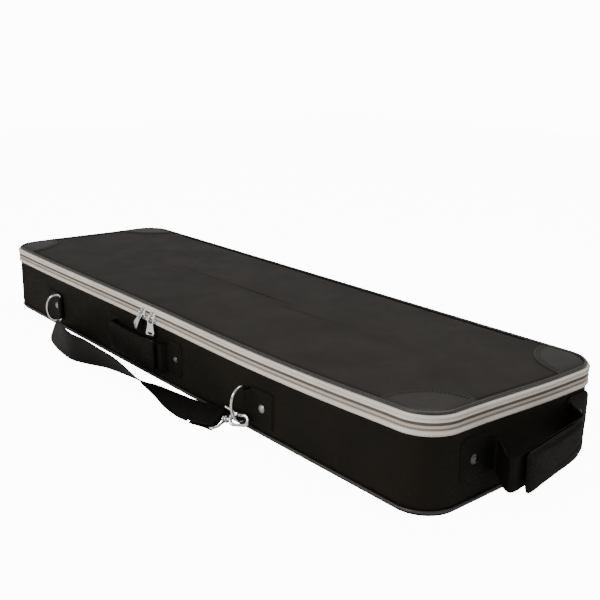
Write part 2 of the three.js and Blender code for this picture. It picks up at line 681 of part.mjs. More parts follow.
// ---- snap hook --------------------------------------------------------------
// The hook lies along its own +X with the D-ring's wire at its origin, and its gate on the +Z side.
function addSnapHook() {
  const parent = new THREE.Group();
  parent.position.set(...HOOK_AT);
  parent.rotation.set(
    THREE.MathUtils.degToRad(HOOK_ROLL),
    THREE.MathUtils.degToRad(-HOOK_PITCH),
    THREE.MathUtils.degToRad(HOOK_YAW),
    "ZYX",
  );
  group.add(parent);
  const base = -HOOK_LENGTH / 2;
  const outline = roundedOutline(HOOK_LENGTH, HOOK_HEIGHT, HOOK_HEIGHT / 2 - 0.1);
  const slotLength = HOOK_LENGTH - 2 * HOOK_WALL;
  const slotHeight = HOOK_HEIGHT - 2 * HOOK_WALL;
  const slot = roundedOutline(slotLength, slotHeight, slotHeight / 2 - 0.1);
  const halfThickness = HOOK_THICKNESS / 2;
  const body = extrudeAlongY(outline, -halfThickness, halfThickness);
  const eye = extrudeAlongY(slot, -HOOK_THICKNESS, HOOK_THICKNESS);
  const mouth = box([base + 4, -HOOK_THICKNESS, 1], [base + 11, HOOK_THICKNESS, HOOK_HEIGHT]);
  const shank = rod([base + 1.5, 0, 0], [base - 5.4, 0, 0], SHANK_RADIUS, 12);
  const head = rod([base - 5.2, 0, 0], [base - 6.6, 0, 0], SHANK_HEAD_RADIUS, 12);
  addNode("snap_hook", join(cut(body, eye, mouth), shank, head), metal(CHROME), parent);

  const gateTop = HOOK_HEIGHT / 2 + GATE_RISE;
  const gateBar = box([base + 5, -1.5, slotHeight / 2 + GAP], [base + 10.1, 1.5, gateTop]);
  const leverStart = [base + 5.9, 0, gateTop - 0.8];
  const lever = rod(leverStart, [base - 5.5, 0, gateTop + 4.5], LEVER_RADIUS, 10);
  addNode("hook_gate", join(gateBar, lever), metal(CHROME), parent);

  const swivel = new THREE.Group();
  swivel.rotation.x = THREE.MathUtils.degToRad(END_RING_ROLL - HOOK_ROLL);
  parent.add(swivel);
  const boss = rod([base - 4.6, 0, 0], [base - 1.4, 0, 0], SWIVEL_BOSS_RADIUS, 14);
  const halfBar = END_RING_BAR / 2;
  const bossX = base - 3;
  const barX = base - 12;
  const loop = wireLoop(
    [
      [bossX, 0], [bossX, 5], [bossX - 1.5, halfBar - 4], [bossX - 5, halfBar], [barX, halfBar - 1],
      [barX, halfBar / 2], [barX, 0], [barX, -halfBar / 2], [barX, -halfBar + 1],
      [bossX - 5, -halfBar], [bossX - 1.5, -halfBar + 4], [bossX, -5],
    ].map(([x, y]) => new THREE.Vector3(x, y, 0)),
    END_RING_WIRE_RADIUS,
    44,
  );
  const bore = rod([base - 8, 0, 0], [base + 2, 0, 0], 2.2, 14);
  addNode("strap_end_ring", cut(join(loop, boss), bore), metal(CHROME), swivel);
}

addBase();
addZip();
addLid();
addHandles();
addRing("left", LEFT_RING_X, -1, 14, LEFT_RING_TURN);
addRing("right", RIGHT_RING_X, 1, 23, RIGHT_RING_TURN);
addShoulderStrap();
addSnapHook();

export default group;
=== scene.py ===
"""Looks for the oblong violin case: fabric, zip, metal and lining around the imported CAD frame."""

import json
import math

import bmesh
import bpy
import numpy as np
from mathutils import Matrix, Vector

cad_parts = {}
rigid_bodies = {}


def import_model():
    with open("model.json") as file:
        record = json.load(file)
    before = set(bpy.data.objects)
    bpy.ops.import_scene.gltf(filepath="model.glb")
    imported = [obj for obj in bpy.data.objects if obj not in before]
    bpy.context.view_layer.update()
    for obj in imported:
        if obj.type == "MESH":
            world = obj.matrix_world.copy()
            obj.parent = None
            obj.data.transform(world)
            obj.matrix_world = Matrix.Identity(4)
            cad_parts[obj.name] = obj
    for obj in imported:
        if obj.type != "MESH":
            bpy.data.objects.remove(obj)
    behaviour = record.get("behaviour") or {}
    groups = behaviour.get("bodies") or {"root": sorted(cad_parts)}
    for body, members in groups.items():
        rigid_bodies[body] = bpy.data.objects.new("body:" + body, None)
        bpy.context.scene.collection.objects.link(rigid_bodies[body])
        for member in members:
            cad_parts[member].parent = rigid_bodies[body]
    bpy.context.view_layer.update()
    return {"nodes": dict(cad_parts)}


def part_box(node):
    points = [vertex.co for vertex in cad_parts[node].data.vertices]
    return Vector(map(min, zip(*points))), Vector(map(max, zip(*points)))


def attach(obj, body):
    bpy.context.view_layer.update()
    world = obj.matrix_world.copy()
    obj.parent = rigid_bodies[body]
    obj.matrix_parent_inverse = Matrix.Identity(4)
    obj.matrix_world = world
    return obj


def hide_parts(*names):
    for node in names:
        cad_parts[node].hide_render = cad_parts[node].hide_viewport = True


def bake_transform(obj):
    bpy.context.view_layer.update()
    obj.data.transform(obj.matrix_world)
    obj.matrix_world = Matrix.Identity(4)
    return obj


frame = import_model()
MM = 0.001


# ---- camera --------------------------------------------------------------------------------------
CAMERA_PLACE = (0.81403, -0.59870, 0.36516)
CAMERA_YAW_PITCH_ROLL = (-49.91, 16.02, 0.66)
CAMERA_LENS = 52.54


def add_camera():
    yaw, pitch, roll = (math.radians(a) for a in CAMERA_YAW_PITCH_ROLL)
    forward = Vector((math.sin(yaw) * math.cos(pitch), math.cos(yaw) * math.cos(pitch), -math.sin(pitch)))
    right = Vector((math.cos(yaw), -math.sin(yaw), 0))
    up = right.cross(forward)
    x_axis = right * math.cos(roll) + up * math.sin(roll)
    y_axis = up * math.cos(roll) - right * math.sin(roll)
    turn = Matrix((x_axis, y_axis, -forward)).transposed().to_4x4()
    data = bpy.data.cameras.new("camera")
    data.lens = CAMERA_LENS
    data.sensor_width = 36
    data.clip_start = 0.02
    camera = bpy.data.objects.new("camera", data)
    camera.matrix_world = Matrix.Translation(CAMERA_PLACE) @ turn
    bpy.context.scene.collection.objects.link(camera)
    bpy.context.scene.camera = camera


add_camera()


# ---- sizes read from the frame, in mm ------------------------------------------------------------
def node_mm(node):
    low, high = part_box(node)
    return np.array(low) / MM, np.array(high) / MM


COVER_LOW, COVER_HIGH = node_mm("base_cover")
LENGTH = COVER_HIGH[0] - COVER_LOW[0]
WIDTH = COVER_HIGH[1] - COVER_LOW[1]
FRONT = COVER_LOW[1]
END = COVER_HIGH[0]
CORNER = 33.0
CENTRE_LIMIT = WIDTH / 2 - 2.5
PARTING = (node_mm("lower_zip_coil")[1][2] + node_mm("upper_zip_coil")[0][2]) / 2
BAND_GAP = 317.6


# ---- shaders -------------------------------------------------------------------------------------
def linear(colour):
    """An sRGB colour from 0 to 255 as a linear one."""
    return tuple((c / 255 / 12.92) if c <= 10 else ((c / 255 + 0.055) / 1.055) ** 2.4
                 for c in colour) + (1.0,)


class Shader:
    """A Principled material and short calls for the nodes that feed it."""

    def __init__(self, name, metallic=0.0, **sockets):
        self.material = bpy.data.materials.new(name)
        self.material.use_nodes = True
        self.tree = self.material.node_tree
        self.tree.nodes.clear()
        output = self.node("ShaderNodeOutputMaterial")
        self.bsdf = self.node("ShaderNodeBsdfPrincipled")
        self.tree.links.new(self.bsdf.outputs[0], output.inputs[0])
        self.bsdf.inputs["Metallic"].default_value = metallic
        for socket, value in sockets.items():
            self.bsdf.inputs[socket.replace("_", " ")].default_value = value

    def node(self, kind, **settings):
        node = self.tree.nodes.new(kind)
        for key, value in settings.items():
            setattr(node, key, value)
        return node

    def feed(self, socket, value):
        if isinstance(value, bpy.types.NodeSocket):
            self.tree.links.new(value, socket)
        else:
            socket.default_value = value

    def coords(self, kind="uv", stretch=(1, 1, 1)):
        if kind == "uv":
            out = self.node("ShaderNodeUVMap", uv_map="UVMap").outputs[0]
        else:
            out = self.node("ShaderNodeTexCoord").outputs["Object"]
        if stretch == (1, 1, 1):
            return out
        mapping = self.node("ShaderNodeMapping")
        self.feed(mapping.inputs["Vector"], out)
        mapping.inputs["Scale"].default_value = stretch
        return mapping.outputs[0]

    def math(self, operation, a, b=0.0, c=None, clamp=False):
        node = self.node("ShaderNodeMath", operation=operation, use_clamp=clamp)
        self.feed(node.inputs[0], a)
        self.feed(node.inputs[1], b)
        if c is not None:
            self.feed(node.inputs[2], c)
        return node.outputs[0]

    def split(self, vector):
        node = self.node("ShaderNodeSeparateXYZ")
        self.feed(node.inputs[0], vector)
        return node.outputs

    def noise(self, coords, scale, detail=3.0, rough=0.55):
        node = self.node("ShaderNodeTexNoise")
        self.feed(node.inputs["Vector"], coords)
        node.inputs["Scale"].default_value = scale
        node.inputs["Detail"].default_value = detail
        node.inputs["Roughness"].default_value = rough
        return node.outputs[0]

    def cells(self, coords, scale, feature="F1"):
        node = self.node("ShaderNodeTexVoronoi", feature=feature)
        self.feed(node.inputs["Vector"], coords)
        node.inputs["Scale"].default_value = scale
        return node.outputs["Distance"]

    def fit(self, value, a, b, low=0.0, high=1.0):
        node = self.node("ShaderNodeMapRange")
        self.feed(node.inputs["Value"], value)
        for socket, number in zip(("From Min", "From Max", "To Min", "To Max"), (a, b, low, high)):
            node.inputs[socket].default_value = number
        return node.outputs[0]

    def mix(self, factor, a, b):
        node = self.node("ShaderNodeMix", data_type="RGBA")
        self.feed(node.inputs[0], factor)
        self.feed(node.inputs[6], a)
        self.feed(node.inputs[7], b)
        return node.outputs[2]

    def bump(self, height, distance_mm, strength=1.0, under=None):
        node = self.node("ShaderNodeBump")
        self.feed(node.inputs["Height"], height)
        node.inputs["Distance"].default_value = distance_mm * MM
        node.inputs["Strength"].default_value = strength
        if under is not None:
            self.feed(node.inputs["Normal"], under)
        return node.outputs[0]

    def weave(self, coords, pitch_mm):
        """Threads crossing over and under: 0 in the gaps, 1 on the crowns."""
        along, up = self.split(coords)[:2]
        k = math.pi / (pitch_mm * MM)
        a = self.math("SINE", self.math("MULTIPLY", along, k))
        b = self.math("SINE", self.math("MULTIPLY", up, k))
        return self.math("POWER", self.math("ABSOLUTE", self.math("MULTIPLY", a, b)), 0.6)

    def ribs(self, value, pitch_mm):
        """0 in the gaps and 1 on the crowns of ribs at an even pitch."""
        phase = self.math("MULTIPLY", value, math.pi / (pitch_mm * MM))
        return self.math("ABSOLUTE", self.math("SINE", phase))

    def finish(self, colour, roughness, normal=None):
        self.feed(self.bsdf.inputs["Base Color"], colour)
        self.feed(self.bsdf.inputs["Roughness"], roughness)
        if normal is not None:
            self.feed(self.bsdf.inputs["Normal"], normal)
        return self.material


def woven_fabric(name, dark, light, pitch=0.9, rough=(0.62, 0.85), depth=0.22, kind="uv", gloss=0.12):
    """Plain woven cloth: thread crowns lighter than the gaps, the gaps darkened with painted shade, slow tone
    changes and a few lint specks.
    """
    shader = Shader(name, Sheen_Weight=0.0, Sheen_Roughness=0.45, Specular_IOR_Level=gloss)
    coords = shader.coords(kind)
    threads = shader.weave(coords, pitch)
    slow = shader.noise(coords, 14.0, 4.0, 0.6)
    fine = shader.noise(coords, 900.0, 2.0, 0.7)
    # Painted shade: the gaps between the threads are darker in colour, added to the slow random tone.
    tone = shader.math("MULTIPLY_ADD", threads, 0.45, shader.fit(slow, 0.3, 0.7, 0.0, 0.4))
    tone = shader.math("MULTIPLY_ADD", fine, 0.25, tone, clamp=True)
    colour = shader.mix(tone, linear(dark), linear(light))
    specks = shader.fit(shader.noise(coords, 420.0, 1.0, 0.5), 0.74, 0.8, 0.0, 0.35)
    colour = shader.mix(specks, colour, linear(tuple(min(255, c * 1.6 + 18) for c in light)))
    roughness = shader.fit(shader.math("ADD", slow, fine), 0.7, 1.3, rough[1], rough[0])
    slub = shader.bump(shader.noise(coords, 60.0, 3.0, 0.6), 0.6, 0.35)
    return shader.finish(colour, roughness, shader.bump(threads, depth, 0.8, slub))


def webbing_fabric(name, dark, light, rib=1.7, rough=(0.5, 0.72)):
    """Ribbed webbing: ribs across the strap, finer yarns along them, and a smooth edge."""
    shader = Shader(name, Specular_IOR_Level=0.1)
    coords = shader.coords("uv")
    along, across = shader.split(coords)[:2]
    ribs = shader.ribs(along, rib)
    yarns = shader.ribs(across, 1.1)
    body = shader.math("MULTIPLY", shader.math("POWER", ribs, 0.7), shader.fit(yarns, 0, 1, 0.6, 1.0))
    slow = shader.noise(coords, 30.0, 3.0, 0.6)
    # Painted shade: the gaps between the ribs and yarns are darker in colour, added to the slow random tone.
    tone = shader.math("MULTIPLY_ADD", body, 0.25, shader.fit(slow, 0.3, 0.7, 0.2, 0.65), clamp=True)
    colour = shader.mix(tone, linear(dark), linear(light))
    roughness = shader.fit(body, 0.0, 1.0, rough[1], rough[0])
    return shader.finish(colour, roughness, shader.bump(body, 0.09, 0.7))


def grained_vinyl(name, dark, light, grain=900.0, rough=(0.34, 0.55), depth=0.12, coat=0.02, gloss=0.14):
    """Leather-look vinyl: pebbled grain with creases between the pebbles and a slow change of gloss."""
    shader = Shader(name, Coat_Weight=coat, Coat_Roughness=0.35, Specular_IOR_Level=gloss)
    coords = shader.coords("object")
    pebbles = shader.cells(coords, grain)
    crease = shader.cells(coords, grain, "DISTANCE_TO_EDGE")
    slow = shader.noise(coords, 45.0, 4.0, 0.6)
    crown = shader.fit(crease, 0.0, 0.25)
    # Painted shade: the creases between the pebbles are darker in colour, added to the slow random tone.
    tone = shader.math("MULTIPLY_ADD", crown, 0.5, shader.fit(slow, 0.3, 0.7, 0.0, 0.5))
    colour = shader.mix(tone, linear(dark), linear(light))
    wear = shader.math("ADD", slow, shader.fit(pebbles, 0.0, 0.8))
    roughness = shader.fit(wear, 0.5, 1.5, *rough)
    swelling = shader.fit(crease, 0.0, 0.2)
    height = shader.math("MULTIPLY_ADD", swelling, 0.7, shader.math("MULTIPLY", slow, 0.8))
    return shader.finish(colour, roughness, shader.bump(height, depth, 0.8))


def polished_metal(name, colour, rough=(0.1, 0.22), scratch=0.4):
    """Chrome or nickel plate: slightly uneven polish, hairline scratches and faint handling smears."""
    shader = Shader(name, metallic=1.0)
    coords = shader.coords("object")
    smear = shader.noise(coords, 120.0, 3.0, 0.6)
    hair = shader.noise(shader.coords("object", (3000.0, 260.0, 260.0)), 1.0, 2.0, 0.7)
    lines = shader.fit(hair, 0.6, 0.72)
    tint = shader.mix(smear, linear(colour), linear(tuple(c * 0.93 for c in colour)))
    polish = shader.fit(smear, 0.3, 0.7, *rough)
    roughness = shader.math("MULTIPLY_ADD", lines, scratch * 0.3, polish, clamp=True)
    return shader.finish(tint, roughness, shader.bump(lines, 0.01, 0.4))


def plush(name, dark, light):
    """Short pile: clumped fibres, with soft streaks of painted sheen where the pile catches the light."""
    shader = Shader(name, Sheen_Weight=0.6, Sheen_Roughness=0.35)
    coords = shader.coords("object")
    stroke = shader.noise(coords, 22.0, 4.0, 0.6)
    fibre = shader.noise(coords, 1500.0, 2.0, 0.7)
    clump = shader.noise(coords, 260.0, 3.0, 0.7)
    # Painted sheen: the slow stroke noise lightens the colour in soft streaks; the fine fibre noise is random
    # tone.
    tone = shader.math("MULTIPLY_ADD", fibre, 0.4, shader.fit(stroke, 0.3, 0.7, 0.0, 0.5))
    colour = shader.mix(tone, linear(dark), linear(light))
    height = shader.math("MULTIPLY_ADD", fibre, 0.5, clump)
    return shader.finish(colour, shader.fit(clump, 0.3, 0.7, 0.85, 1.0), shader.bump(height, 0.5, 0.7))


def zip_tape_cloth(name, dark, light):
    """Herringbone zip tape in a pale grey, with slow patchy soiling."""
    shader = Shader(name, Sheen_Weight=0.15, Sheen_Roughness=0.4)
    coords = shader.coords("uv")
    along, up = shader.split(coords)[:2]
    zig = shader.math("PINGPONG", up, 1.6 * MM)
    slanted = shader.math("ADD", along, zig)
    twill = shader.ribs(slanted, 0.8)
    slow = shader.noise(coords, 26.0, 4.0, 0.6)
    # Painted shade: the gaps between the twill ribs are darker in colour, added to the slow random tone.
    tone = shader.math("MULTIPLY_ADD", twill, 0.45, shader.fit(slow, 0.3, 0.7, 0.1, 0.55), clamp=True)
    colour = shader.mix(tone, linear(dark), linear(light))
    return shader.finish(colour, shader.fit(twill, 0, 1, 0.75, 0.55), shader.bump(twill, 0.16, 0.8))


def coil_nylon(name, dark, light):
    """Nylon zip coil: a row of rounded turns, with painted shade darkening the gaps between them."""
    shader = Shader(name, Specular_IOR_Level=0.5)
    coords = shader.coords("uv")
    turns = shader.ribs(shader.split(coords)[0], 1.5)
    slow = shader.noise(coords, 40.0, 3.0, 0.6)
    crown = shader.math("POWER", turns, 0.5)
    # Painted shade: the gaps between the turns are darker in colour; the slow noise is random tone.
    tone = shader.math("MULTIPLY_ADD", crown, 0.7, shader.math("MULTIPLY", slow, 0.3))
    colour = shader.mix(tone, linear(dark), linear(light))
    return shader.finish(colour, shader.fit(turns, 0, 1, 0.6, 0.35), shader.bump(turns, 0.4, 0.9))


def fibre_board(name, dark, light):
    """Black-faced board with a grain along its length and a few flecks."""
    shader = Shader(name)
    coords = shader.coords("object")
    grain = shader.noise(shader.coords("object", (40.0, 400.0, 400.0)), 1.0, 4.0, 0.6)
    flecks = shader.fit(shader.noise(coords, 700.0, 2.0, 0.6), 0.55, 0.7)
    colour = shader.mix(grain, linear(dark), linear(light))
    colour = shader.mix(shader.math("MULTIPLY", flecks, 0.4), colour, linear(tuple(c * 0.7 for c in dark)))
    return shader.finish(colour, shader.fit(grain, 0, 1, 0.7, 0.9), shader.bump(grain, 0.3, 0.5))


def moulded_plastic(name, colour):
    """Dull plastic with paler scuffs."""
    shader = Shader(name, Specular_IOR_Level=0.5)
    coords = shader.coords("object")
    fine = shader.noise(coords, 1200.0, 2.0, 0.5)
    scuff = shader.fit(shader.noise(coords, 90.0, 4.0, 0.7), 0.55, 0.75)
    worn = linear(tuple(c * 1.6 + 12 for c in colour))
    tint = shader.mix(shader.math("MULTIPLY", scuff, 0.3), linear(colour), worn)
    roughness = shader.math("MULTIPLY_ADD", scuff, 0.25, 0.3)
    return shader.finish(tint, roughness, shader.bump(fine, 0.05, 0.5))


NYLON = woven_fabric("oxford_nylon", (9, 7, 4), (26, 22, 15), pitch=1.0)
PANEL = woven_fabric("panel_cloth", (14, 11, 7), (29, 23, 17), pitch=0.8, rough=(0.42, 0.58),
                     depth=0.12, gloss=0.17)
PIPING = grained_vinyl("piping_vinyl", (14, 12, 10), (30, 27, 24), grain=1400.0, rough=(0.18, 0.3),
                       coat=0.5, gloss=0.5)
TAPE = zip_tape_cloth("zip_tape_cloth", (198, 190, 181), (240, 232, 223))
COIL = coil_nylon("zip_coil_nylon", (150, 142, 135), (232, 224, 215))
# Painted shade: the two sunken strips beside the coil are darker than the tape to stand for the shade in the
# grooves, the upper one darker still as it lies under the tape's lower edge.
GROOVE_PAINTED_SHADE = woven_fabric("zip_inner_tape", (80, 74, 68), (118, 110, 102), pitch=0.6)
SOFT_GROOVE_PAINTED_SHADE = woven_fabric("zip_groove_soft_painted_shade", (122, 114, 106), (160, 152, 143), pitch=0.6)
WEBBING = webbing_fabric("black_webbing", (5, 4, 3), (12, 10, 8))
VINYL = grained_vinyl("black_vinyl", (9, 8, 6), (23, 20, 16), rough=(0.45, 0.65), coat=0.0, gloss=0.08)
PATCH_VINYL = grained_vinyl("corner_vinyl", (19, 17, 13), (38, 34, 29), grain=700.0, rough=(0.3, 0.46),
                            coat=0.08, gloss=0.2)
LINING = plush("grey_plush", (62, 63, 68), (118, 119, 125))
BOARD = fibre_board("fibre_board", (22, 19, 16), (40, 35, 30))
CHROME = polished_metal("chrome_plate", (222, 223, 225))
DARK_METAL = polished_metal("black_nickel", (88, 86, 84), rough=(0.16, 0.26))
RIVET_METAL = polished_metal("satin_nickel", (168, 167, 164), rough=(0.28, 0.42), scratch=0.6)
CLIP = moulded_plastic("clip_plastic", (26, 26, 28))
THREAD = woven_fabric("sewing_thread", (14, 13, 12), (44, 41, 38), pitch=0.3, kind="object")
PALE_THREAD = woven_fabric("pale_thread", (140, 134, 128), (190, 184, 178), pitch=0.3, kind="object")


# ---- mesh helpers: millimetres in, metres out ----------------------------------------------------
def make_mesh(name, verts, faces, uvs=None):
    """One smooth-shaded object from points in mm, faces and an optional (u, v) in mm for each point."""
    mesh = bpy.data.meshes.new(name)
    mesh.from_pydata([tuple(float(c) * MM for c in v) for v in verts], [], [tuple(f) for f in faces])
    layer = mesh.uv_layers.new(name="UVMap")
    if uvs is not None:
        loops = np.zeros(len(mesh.loops), dtype=np.int32)
        mesh.loops.foreach_get("vertex_index", loops)
        layer.data.foreach_set("uv", (np.array(uvs, dtype=np.float32)[loops] * MM).ravel())
    obj = bpy.data.objects.new(name, mesh)
    bpy.context.scene.collection.objects.link(obj)
    outward(obj)
    shade(obj)
    return obj


def outward(obj):
    work = bmesh.new()
    work.from_mesh(obj.data)
    bmesh.ops.recalc_face_normals(work, faces=work.faces)
    work.to_mesh(obj.data)
    work.free()


def shade(obj, angle=50):
    obj.data.polygons.foreach_set("use_smooth", [True] * len(obj.data.polygons))
    obj.data.set_sharp_from_angle(angle=math.radians(angle))


def bake_modifiers(obj):
    depsgraph = bpy.context.evaluated_depsgraph_get()
    mesh = bpy.data.meshes.new_from_object(obj.evaluated_get(depsgraph))
    old = obj.data
    obj.modifiers.clear()
    obj.data = mesh
    bpy.data.meshes.remove(old)
    return obj


def dress(obj, body, slot, material, *replaced):
    """Give a piece its material, its body and the CAD nodes it stands for; the finish slot is not used."""
    obj.data.materials.clear()
    obj.data.materials.append(material)
    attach(obj, body)
    if replaced:
        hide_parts(*replaced)
    return obj


def grid_faces(rows, columns, close_rows=False, close_columns=False):
    faces = []
    for r in range(rows if close_rows else rows - 1):
        for c in range(columns if close_columns else columns - 1):
            a = r * columns + c
            b = r * columns + (c + 1) % columns
            d = ((r + 1) % rows) * columns + c
            e = ((r + 1) % rows) * columns + (c + 1) % columns
            faces.append((a, b, e, d))
    return faces


def unit(v):
    v = np.asarray(v, float)
    return v / (np.linalg.norm(v) + 1e-12)


def smooth_path(points, steps, closed=False):
    """Catmull-Rom through points, with steps samples to each stretch."""
    pts = np.array(points, float)
    count = len(pts)
    out = []
    for i in range(count if closed else count - 1):
        p0 = pts[i - 1] if closed or i else 2 * pts[0] - pts[1]
        p1 = pts[i]
        p2 = pts[(i + 1) % count]
        p3 = pts[(i + 2) % count] if closed or i + 2 < count else 2 * pts[-1] - pts[-2]
        for k in range(steps):
            t = k / steps
            out.append(0.5 * (2 * p1 + (p2 - p0) * t + (2 * p0 - 5 * p1 + 4 * p2 - p3) * t * t
                              + (3 * p1 - p0 - 3 * p2 + p3) * t ** 3))
    if not closed:
        out.append(pts[-1])
    return np.array(out)


def run_length(path):
    steps = np.linalg.norm(np.diff(np.array(path, float), axis=0), axis=1)
    return np.concatenate([[0], np.cumsum(steps)])


def length_m(path):
    return float(run_length(path)[-1]) * MM


def facing(points, normal):
    """A row for stitches: points that all face one way."""
    return points, [normal] * len(points)


def as_placed(x, y, z):
    return (x, y, z)


def tube_mesh(path, radius, sides=12, closed=False, up=(0, 0, 1)):
    """Points, faces and UVs of a wire along a path; radius is a number or one for each point."""
    path = np.array(path, float)
    count = len(path)
    radii = np.full(count, float(radius)) if np.isscalar(radius) else np.array(radius, float)
    run = run_length(path)
    verts, uvs = [], []
    normal = None
    for i in range(count):
        before = path[i - 1] if closed or i else path[0]
        after = path[(i + 1) % count] if closed or i + 1 < count else path[-1]
        tangent = unit(after - before)
        if normal is None:
            side = np.array(up, float)
            if abs(side @ tangent) > 0.9:
                side = np.array((1.0, 0.0, 0.0))
            normal = unit(side - (side @ tangent) * tangent)
        normal = unit(normal - (normal @ tangent) * tangent)
        other = np.cross(tangent, normal)
        for k in range(sides):
            angle = 2 * math.pi * k / sides
            verts.append(path[i] + radii[i] * (math.cos(angle) * normal + math.sin(angle) * other))
            uvs.append((run[i], 2 * math.pi * radii[i] * k / sides))
    faces = grid_faces(count, sides, close_rows=closed, close_columns=True)
    if not closed:
        faces.append(tuple(range(sides)))
        faces.append(tuple(range((count - 1) * sides, count * sides)))
    return verts, faces, uvs


def tube(name, path, radius, **options):
    return make_mesh(name, *tube_mesh(path, radius, **options))


def merged(name, *parts):
    """One object from several (points, faces, uvs) sets."""
    verts, faces, uvs = [], [], []
    for part_verts, part_faces, part_uvs in parts:
        base = len(verts)
        verts.extend(part_verts)
        uvs.extend(part_uvs)
        faces.extend(tuple(i + base for i in face) for face in part_faces)
    return make_mesh(name, verts, faces, uvs)


def edged(count, size, edge=0.5):
    """Fractions from 0 to 1 with close steps at both ends, for a rounded edge."""
    tight = min(edge / size, 0.2)
    middle = [2.6 * tight + (1 - 5.2 * tight) * k / (count - 1) for k in range(count)]
    return [0.0, 0.35 * tight, tight] + middle + [1 - tight, 1 - 0.35 * tight, 1.0]


def slab_mesh(points, normals, thickness, uvs):
    """A thin closed sheet from a grid of points: its outer face falls away softly at the edges."""
    points = np.array(points, float)
    normals = np.array(normals, float)
    rows, columns = points.shape[:2]
    fall = (0.3, 0.72, 0.92)

    def height(r, c):
        gap = min(r, rows - 1 - r, c, columns - 1 - c)
        return fall[gap] if gap < len(fall) else 1.0

    spots = [(r, c) for r in range(rows) for c in range(columns)]
    outer = [points[spot] + normals[spot] * thickness * height(*spot) for spot in spots]
    inner = [points[spot] for spot in spots]
    count = rows * columns
    faces = grid_faces(rows, columns)
    faces += [tuple(i + count for i in f[::-1]) for f in grid_faces(rows, columns)]
    rim = list(range(columns))
    rim += [r * columns + columns - 1 for r in range(1, rows)]
    rim += [(rows - 1) * columns + c for c in range(columns - 2, -1, -1)]
    rim += [r * columns for r in range(rows - 2, 0, -1)]
    for k, a in enumerate(rim):
        b = rim[(k + 1) % len(rim)]
        faces.append((b, a, a + count, b + count))
    flat_uvs = [tuple(uvs[r][c]) for r, c in spots]
    return outer + inner, faces, flat_uvs + flat_uvs


def grid_normals(points):
    points = np.array(points, float)
    du = np.gradient(points, axis=0)
    dv = np.gradient(points, axis=1)
    normals = np.cross(du, dv)
    return normals / (np.linalg.norm(normals, axis=2, keepdims=True) + 1e-12)


def ribbon_mesh(centres, across, thickness, columns, flip=False):
    """A strap along centres; across is its full-width vector at each one."""
    centres = np.array(centres, float)
    across = np.array(across, float)
    run = run_length(centres)
    fractions = edged(columns, np.linalg.norm(across[0]), 0.9)
    points, uvs = [], []
    for i, centre in enumerate(centres):
        width = np.linalg.norm(across[i])
        points.append([centre + across[i] * (f - 0.5) for f in fractions])
        uvs.append([(run[i], width * f) for f in fractions])
    normals = grid_normals(points)
    if flip:
        normals = -normals
    points = np.array(points) - normals * thickness / 2
    return slab_mesh(points, normals, thickness, uvs)


def stitches_mesh(points, normals, length=2.4, pitch=3.4, radius=0.3, lift=0.12):
    """Sewn thread along a path: short rounded dashes lying on the surface."""
    points = np.array(points, float)
    normals = np.array(normals, float)
    run = run_length(points)
    verts, faces = [], []
    for k in range(int(run[-1] // pitch)):
        ends = []
        for s in (k * pitch + 0.4, k * pitch + 0.4 + length):
            ends.append(np.array([np.interp(s, run, points[:, axis]) for axis in range(3)]))
        normal = unit([np.interp(k * pitch + length / 2, run, normals[:, axis]) for axis in range(3)])
        along = unit(ends[1] - ends[0])
        side = unit(np.cross(normal, along))
        base = len(verts)
        for t, scale, rise in ((0.0, 0.3, -0.4), (0.2, 1.0, 1.0), (0.8, 1.0, 1.0), (1.0, 0.3, -0.4)):
            centre = ends[0] + (ends[1] - ends[0]) * t + normal * lift * rise
            for q in range(6):
                angle = math.pi * q / 3
                verts.append(centre + radius * scale * (math.cos(angle) * side + math.sin(angle) * normal))
        for ring in range(3):
            for q in range(6):
                a = base + ring * 6 + q
                b = base + ring * 6 + (q + 1) % 6
                faces.append((a, b, b + 6, a + 6))
        faces.append(tuple(base + q for q in range(6)))
        faces.append(tuple(base + 18 + q for q in range(6)))
    return verts, faces, [(v[0], v[2]) for v in verts]


def stitches(name, paths, body, slot, material=None, **sizes):
    """Rows of thread; paths is a list of (points, normals)."""
    obj = merged(name, *[stitches_mesh(points, normals, **sizes) for points, normals in paths])
    return dress(obj, body, slot, material or THREAD)


def rounded_rect(width, height, radius, inset=0.0, per_corner=10, per_side=10):
    """Points round a rounded rectangle about the origin, always the same number."""
    hw = width / 2 - inset
    hh = height / 2 - inset
    r = max(min(radius - inset, hw - 0.01, hh - 0.01), 0.3)
    points = []
    corners = ((hw - r, hh - r, 0), (-hw + r, hh - r, 90), (-hw + r, -hh + r, 180), (hw - r, -hh + r, 270))
    for i, (cx, cy, first) in enumerate(corners):
        for k in range(per_corner):
            angle = math.radians(first + 90 * k / (per_corner - 1))
            points.append((cx + r * math.cos(angle), cy + r * math.sin(angle)))
        nx, ny, turn = corners[(i + 1) % 4]
        start = points[-1]
        finish = (nx + r * math.cos(math.radians(turn)), ny + r * math.sin(math.radians(turn)))
        for k in range(1, per_side):
            t = k / per_side
            points.append((start[0] + (finish[0] - start[0]) * t, start[1] + (finish[1] - start[1]) * t))
    return points


def pillow_mesh(outline, rows, place, depth=0.0):
    """A closed form from rings: outline(inset) gives 2-D points, rows are (inset, height)."""
    verts, uvs = [], []
    for inset, height in [(rows[0][0] + 0.05, depth)] + list(rows):
        ring = outline(inset)
        count = len(ring)
        verts.extend(place(x, y, height) for x, y in ring)
        uvs.extend(ring)
    faces = grid_faces(len(rows) + 1, count, close_columns=True)
    faces.append(tuple(range(count)))
    faces.append(tuple(range(len(rows) * count, (len(rows) + 1) * count)))
    return verts, faces, uvs


